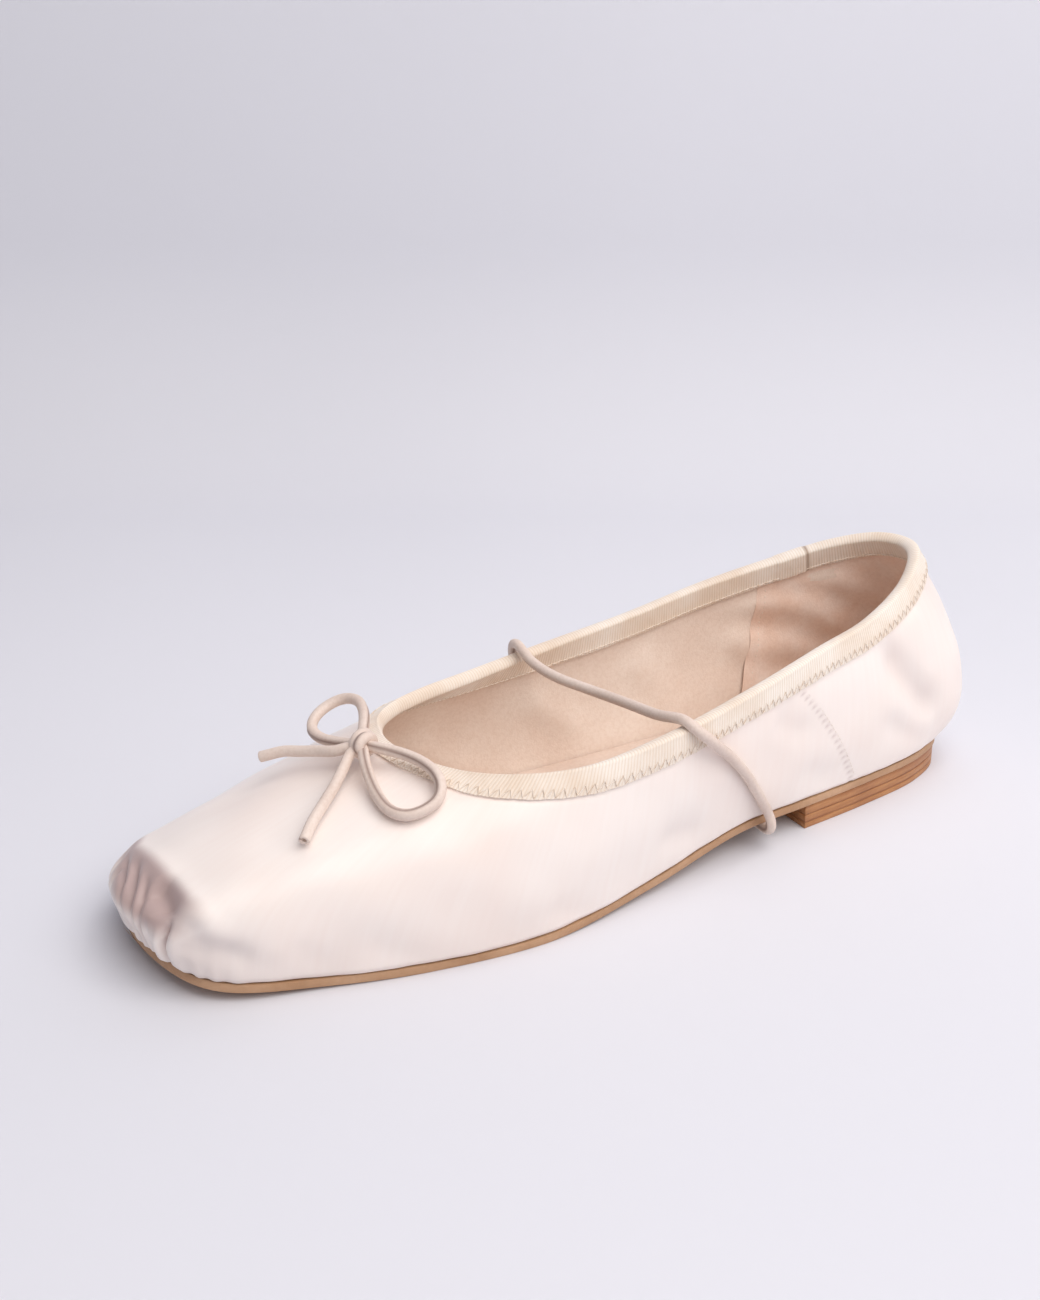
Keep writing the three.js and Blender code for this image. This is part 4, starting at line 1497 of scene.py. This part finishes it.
@dataclass
class ToplineTape:
    """The ribbed tape folded over the collar edge, with its stitching and overlapped joint."""

    last: Last
    columns: int = 480
    depth: float = 7.4
    wall: float = 0.75
    out: float = 1.0
    inside: float = -2.7
    middle: float = -0.8  # offset of the collar's edge, which parts the tape's two legs
    edge_ease: float = 0.4  # how much nearer to the satin its outer edge lies
    edge_start: float = 5.4  # depth where it starts to ease
    joint: float = 37.0  # station of the overlap, on the inner side
    overlap: float = 8.0
    overlap_rise: float = 0.32
    throat: tuple[float, float] = (166.0, 182.0)  # stations between which it grows narrow
    throat_loss: float = 0.36
    zigzags: int = 170
    zigzag_top: float = 4.9  # depth of the zigzag's upper corners
    zigzag_width: float = 2.3
    zigzag_steps: int = 6
    inner_depth: float = 6.5
    inner_pitch: float = 2.6
    inner_steps: int = 8
    thread: float = 0.11
    thread_sides: int = 6

    def profile(self) -> list[tuple[float, float]]:
        """Depth and outward offset across the tape, from its inner edge over the collar."""
        legs = np.linspace(self.depth, 1.3, 9)
        inner = [(d, self.inside + 0.12 * (d > 7)) for d in legs]
        bend = [(1.0 - 0.95 * math.sin(t), self.middle - 1.9 * math.cos(t))
                for t in np.linspace(0.12, math.pi - 0.12, 11)]
        outer = [(d, self.out - self.ease(d)) for d in legs[::-1]]
        return inner + bend + outer

    def ease(self, depth: Array) -> Array:
        """How much nearer to the satin the tape's outer side lies at a depth."""
        return self.edge_ease * smooth(self.edge_start, self.depth, depth)

    def narrow(self, u: Array) -> Array:
        """How much of its width the tape keeps outside: at the throat it is folded over deeper."""
        return 1 - self.throat_loss * smooth(*self.throat, self.last.loop(COLLAR, u)[:, 0])

    def place(self, u: Array, depth: Array, out: Array) -> Array:
        """Points at a depth below the collar and an offset from the last's face.

        Args:
            u: (columns,) places round the shoe.
            depth: (rows, columns) depths.
            out: (rows, columns) outward offsets.

        Returns:
            (rows, columns, 3) points.
        """
        v = self.last.depth_to_v(u, depth)
        uu = np.broadcast_to(u, v.shape)
        return self.last.wall(uu, v) + self.last.normal(uu, v) * out[..., None]

    def build(self, finishes: Finishes) -> None:
        """Makes the tape and its stitches.

        Args:
            finishes: the shoe's materials.
        """
        u = self.last.columns(self.columns)
        profile = np.array(self.profile())
        shape = (len(profile), len(u))
        depth = np.broadcast_to(profile[:, :1], shape).copy()
        out = np.broadcast_to(profile[:, 1:], shape).copy()
        collar = self.last.loop(COLLAR, u)
        run = running(collar)
        medial = collar[:, 1] < 0
        past = np.where(medial, collar[:, 0] - self.joint, 99.0)
        lap = smooth(0.0, 0.3, past) * smooth(self.overlap + 1.0, self.overlap, past)
        away = np.sign(out - self.middle)
        out += away * self.overlap_rise * lap
        wobble = 0.05 * np.sin(run * 0.9) + 0.05 * np.sin(run * 0.37 + 1)
        edge = smooth(6.4, 7.4, depth)
        depth += edge * (wobble + 0.04 * np.sin(run / run[-1] * 2 * np.pi * self.zigzags))
        crumple = np.sin(run * 1.9 + 1.4 * np.sin(run * 0.31)) * np.sin(depth * 0.8 + run * 0.13)
        out += away * 0.07 * crumple * smooth(0.8, 2.5, depth)
        out -= away * 0.1 * np.exp(-((depth - 5.9) / 1.5) ** 2)
        depth = np.where(out > self.middle, depth * self.narrow(u), depth)
        points = self.place(u, depth, out)
        across = running(points[:, 0])
        cloth = np.stack([np.broadcast_to(run, shape), np.broadcast_to(across[:, None], shape)], -1) * MM
        piece = lay_grid("ribbed_tape", points, cloth, close=False)
        gap = np.exp(-((past + 0.15) / 0.3) ** 2)
        phase = np.cos(run / run[-1] * 2 * np.pi * self.zigzags)
        dots = smooth(0.75, 0.98, phase) * np.exp(-((depth - 6.9) / 0.45) ** 2) * (out > 0)
        add_attribute(piece, "hole", np.maximum(gap * 0.9 * np.ones(shape), dots * 0.14))
        merge_doubles(piece)
        thicken(piece, self.wall)
        shade(piece, 60)
        finish_piece(piece, finishes.tape, ("topline_binding",))
        self.zigzag(finishes, u, run)
        self.inner_row(finishes, u, run)

    def zigzag(self, finishes: Finishes, u: Array, run: Array) -> None:
        """Sews the zigzag that holds the tape's outer edge.

        Args:
            finishes: the shoe's materials.
            u: places round the shoe.
            run: length round the collar at each of them.
        """
        steps = self.zigzags * self.zigzag_steps
        around = np.interp(np.linspace(0, run[-1], steps + 1), run, u)
        wave = 2 * np.abs(((np.arange(steps + 1) / self.zigzag_steps) % 1) - 0.5)
        depth = self.zigzag_top + self.zigzag_width * wave
        out = self.out + 0.02 - self.ease(depth)
        line = self.place(around, (depth * self.narrow(around))[None, :], out[None, :])[0]
        piece = sweep("tape_zigzag", line[:-1], np.full(steps, self.thread), self.thread_sides)
        finish_piece(piece, finishes.thread)

    def inner_row(self, finishes: Finishes, u: Array, run: Array) -> None:
        """Sews the row of short stitches that shows inside the tape's edge.

        Args:
            finishes: the shoe's materials.
            u: places round the shoe.
            run: length round the collar at each of them.
        """
        steps = int(run[-1] / self.inner_pitch) * self.inner_steps
        around = np.interp(np.linspace(0, run[-1], steps + 1), run, u)
        beat = np.abs(np.sin(np.arange(steps + 1) / self.inner_steps * np.pi))
        out = self.inside - 0.14 + 0.34 * (1 - smooth(0.0, 0.55, beat))
        line = self.place(around, np.full((1, len(around)), self.inner_depth), out[None, :])[0]
        piece = sweep("tape_inner_stitches", line[:-1], np.full(steps, self.thread), self.thread_sides)
        finish_piece(piece, finishes.thread)


@dataclass
class SeamStitches:
    """Short thread stitches along the side seams and the heel lining's front edge."""

    last: Last
    length: float = 1.2
    pitch: float = 1.6
    thickness: float = 0.11
    rounding: float = 0.38  # of its ends, as a share of its thickness
    behind: float = 1.15  # how far behind the seam they run
    low: float = 12.0  # height of the lowest stitch

    def one_stitch(self) -> bpy.types.Object:
        """Models one plump stitch at the origin, along X."""
        deselect()
        bpy.ops.mesh.primitive_cylinder_add(vertices=8, radius=self.thickness * MM / 2,
                                            depth=self.length * MM * 0.7, rotation=(0, math.pi / 2, 0))
        stitch = bpy.context.object
        bpy.ops.object.transform_apply(location=True, rotation=True, scale=True)
        with editing(stitch):
            bpy.ops.mesh.edges_select_sharp(sharpness=math.radians(60))
            bpy.ops.mesh.bevel(offset=self.thickness * MM * self.rounding, segments=2)
        return stitch

    def row(self, name: str, points: Array, normals: Array, material: bpy.types.Material,
            slot: str) -> None:
        """Copies the stitch along a line of points.

        Args:
            name: name of the joined piece.
            points: (n, 3) line on the surface, closely spaced, in millimetres.
            normals: (n, 3) outward directions along it.
            material: the thread's finish.
            slot: not used.
        """
        run = running(points)
        stitch = self.one_stitch()
        made = []
        for at in np.arange(self.pitch / 2, run[-1], self.pitch):
            here = np.array([np.interp(at, run, points[:, k]) for k in range(3)])
            ahead = np.array([np.interp(at + 0.5, run, points[:, k]) for k in range(3)])
            up = np.array([np.interp(at, run, normals[:, k]) for k in range(3)])
            x = (ahead - here) / np.linalg.norm(ahead - here)
            z = up - x * (up @ x)
            z /= np.linalg.norm(z)
            y = np.cross(z, x)
            copy = stitch.copy()
            copy.data = stitch.data.copy()
            corners = np.zeros(len(copy.data.vertices) * 3)
            copy.data.vertices.foreach_get("co", corners)
            turned = corners.reshape(-1, 3) @ np.stack([x, y, z]) + to_row(here)
            copy.data.vertices.foreach_set("co", turned.reshape(-1))
            bpy.context.scene.collection.objects.link(copy)
            made.append(copy)
        bpy.data.objects.remove(stitch)
        deselect()
        for copy in made:
            copy.select_set(True)
        bpy.context.view_layer.objects.active = made[0]
        bpy.ops.object.join()
        piece = bpy.context.object
        piece.name = piece.data.name = name
        shade(piece, 50)
        finish_piece(piece, material)

    def seam_line(self, side: Side) -> tuple[Array, Array]:
        """Follows a side seam down the wall, a little behind it.

        Args:
            side: which long side of the shoe.

        Returns:
            (n, 3) points just off the satin and the outward directions there.
        """
        seam = SideSeam(side)
        columns = self.last.columns(400)
        part = columns[:201] if side is Side.LATERAL else columns[200:]
        line, normals = [], []
        for v in np.linspace(0.86, 0.08, 120):
            level = np.full(len(part), v)
            wall = self.last.wall(part, level)
            gap = seam.offset(wall) + self.behind
            pick, second = np.argsort(np.abs(gap))[:2]
            if self.low <= wall[pick, 2] <= seam.stitched_to:
                normal = self.last.normal(part[pick:pick + 1], level[:1])[0]
                slope = (part[second] - part[pick]) / (gap[second] - gap[pick])
                best = part[pick] - gap[pick] * slope
                line.append(self.last.wall(np.array([best]), level[:1])[0] + normal * 0.1)
                normals.append(normal)
        return np.array(line), np.array(normals)

    def build(self, finishes: Finishes) -> None:
        """Sews both side seams.

        Args:
            finishes: the shoe's materials.
        """
        for side, seam_name in ((Side.LATERAL, "outer"), (Side.MEDIAL, "inner")):
            line, normals = self.seam_line(side)
            self.row(f"side_seam_stitches_{seam_name}", line, normals, finishes.thread, "satin")


# Bottom
@dataclass
class Bottom:
    """Insole, thin leather outsole and low stacked heel lift."""

    last: Last
    columns: int = 360
    across: int = 14
    gap: float = 0.3  # between two pieces that lie on each other
    inset: float = 0.4
    toe_inset: float = 1.1  # how much further in the outsole lies at the toe
    toe_start: tuple[float, float] = (234, 247)  # stations over which it moves in
    sole_thickness: float = 2.2
    sole_rim: float = 0.3
    flat_under: float = 0.02  # what of the outsole is lower than this lies on the floor
    insole_inset: float = 1.85
    insole_thickness: float = 2.0
    insole_crown: float = 0.35
    insole_rim: float = 0.25
    heel_inset: float = 0.4
    heel_breast: float = 71.0
    heel_depth: float = 6.3  # thickness from which the floor cuts the lift
    heel_flat_under: float = 1.2
    heel_rim: float = 0.22
    layer_heights: tuple[float, ...] = (1.7, 4.1)
    layer_press: float = 0.2
    groove_half: float = 0.14
    heel_middle: float = 40.0  # station that the grooves are pressed towards
    rim_steps: int = 2

    def plate(self, name: str, out: float, rise: float, toe_inset: float = 0.0,
              last_station: float | None = None, crown: float = 0.0) -> bpy.types.Object:
        """Lays a grid between the two long sides of the outline, facing up.

        Args:
            name: name of the piece.
            out: how far it reaches past the feather line.
            rise: its height above the feather line.
            toe_inset: how much further in it lies at the toe.
            last_station: where it stops, or None for the whole length.
            crown: how much its middle is raised.

        Returns:
            The open plate.
        """
        u = self.last.columns(self.columns)
        ring = self.last.outline(u, out, rise)
        if toe_inset:
            inner = self.last.outline(u, out - toe_inset, rise)
            ring = ring + (inner - ring) * smooth(*self.toe_start, ring[:, :1])
        half = self.columns // 2
        left, right = ring[:half + 1], ring[half:][::-1]
        if last_station is not None:
            keep = int(np.argmax(left[:, 0] > last_station))
            left, right = left[:keep + 1], right[:keep + 1]
            left[-1, 0] = right[-1, 0] = last_station
        t = np.linspace(0, 1, self.across + 1)[None, :, None]
        points = left[:, None] * (1 - t) + right[:, None] * t
        points[..., 2] += crown * np.sin(np.pi * t[..., 0])
        return lay_grid(name, points, points[..., :2] * MM)

    def round_rim(self, piece: bpy.types.Object, offset: float) -> None:
        """Rounds the sharp edges of a plate.

        Args:
            piece: the closed plate.
            offset: width of the rounding in millimetres.
        """
        with editing(piece):
            bpy.ops.mesh.select_mode(type="EDGE")
            bpy.ops.mesh.select_all(action="DESELECT")
            bpy.ops.mesh.edges_select_sharp(sharpness=math.radians(55))
            bpy.ops.mesh.bevel(offset=offset * MM, segments=self.rim_steps)
        shade(piece, 40)

    def clamp_floor(self, piece: bpy.types.Object, low: float) -> None:
        """Sets every corner lower than low, in millimetres, on the floor."""
        corners = read_corners(piece)
        corners[corners[:, 2] < low * MM, 2] = 0.0
        piece.data.vertices.foreach_set("co", corners.reshape(-1))
        piece.data.update()

    def groove(self, piece: bpy.types.Object, height: float) -> None:
        """Presses the thin line between two layers round an upright wall.

        Args:
            piece: the piece to cut.
            height: height of the line in millimetres.
        """
        press = self.layer_press
        with editing(piece):
            for level in (height - self.groove_half, height + self.groove_half, height):
                bpy.ops.mesh.select_all(action="SELECT")
                bpy.ops.mesh.bisect(plane_co=(0, 0, level * MM), plane_no=(0, 0, 1))
            centre = ((self.heel_middle - MIDDLE_STATION) * MM, 0, height * MM)
            bpy.ops.transform.resize(value=(1 - press / 30, 1 - press / 18, 1), center_override=centre)

    def build(self, finishes: Finishes) -> None:
        """Makes the three pieces.

        Args:
            finishes: the shoe's materials.
        """
        outsole = self.plate("leather_outsole", -self.inset, -self.gap, self.toe_inset)
        thicken(outsole, self.sole_thickness)
        self.clamp_floor(outsole, self.flat_under)
        self.round_rim(outsole, self.sole_rim)
        finish_piece(outsole, finishes.sole, ("outsole",))

        insole = self.plate("insole_sock", -self.insole_inset, self.insole_thickness,
                            crown=self.insole_crown)
        thicken(insole, self.insole_thickness - 0.1)
        self.round_rim(insole, self.insole_rim)
        finish_piece(insole, finishes.sock, ("insole",))

        rise = -2 * self.gap - self.sole_thickness
        lift = self.plate("stacked_heel_lift", -self.inset - self.heel_inset, rise,
                          last_station=self.heel_breast)
        thicken(lift, self.heel_depth)
        self.clamp_floor(lift, self.heel_flat_under)
        for height in self.layer_heights:
            self.groove(lift, height)
        self.round_rim(lift, self.heel_rim)
        finish_piece(lift, finishes.heel, ("heel_lift",))


def main() -> None:
    """Builds the studio, the cords and the shoe in order."""
    logging.basicConfig(level=logging.INFO, format="%(message)s")
    Studio().build()
    finishes = Finishes.make()
    last = Last()
    InstepCord().build(finishes)
    Bow().build(finishes)
    SatinUpper(last).build(finishes)
    Lining(last).build(finishes)
    ToplineTape(last).build(finishes)
    SeamStitches(last).build(finishes)
    Bottom(last).build(finishes)


if __name__ == "__main__":
    main()
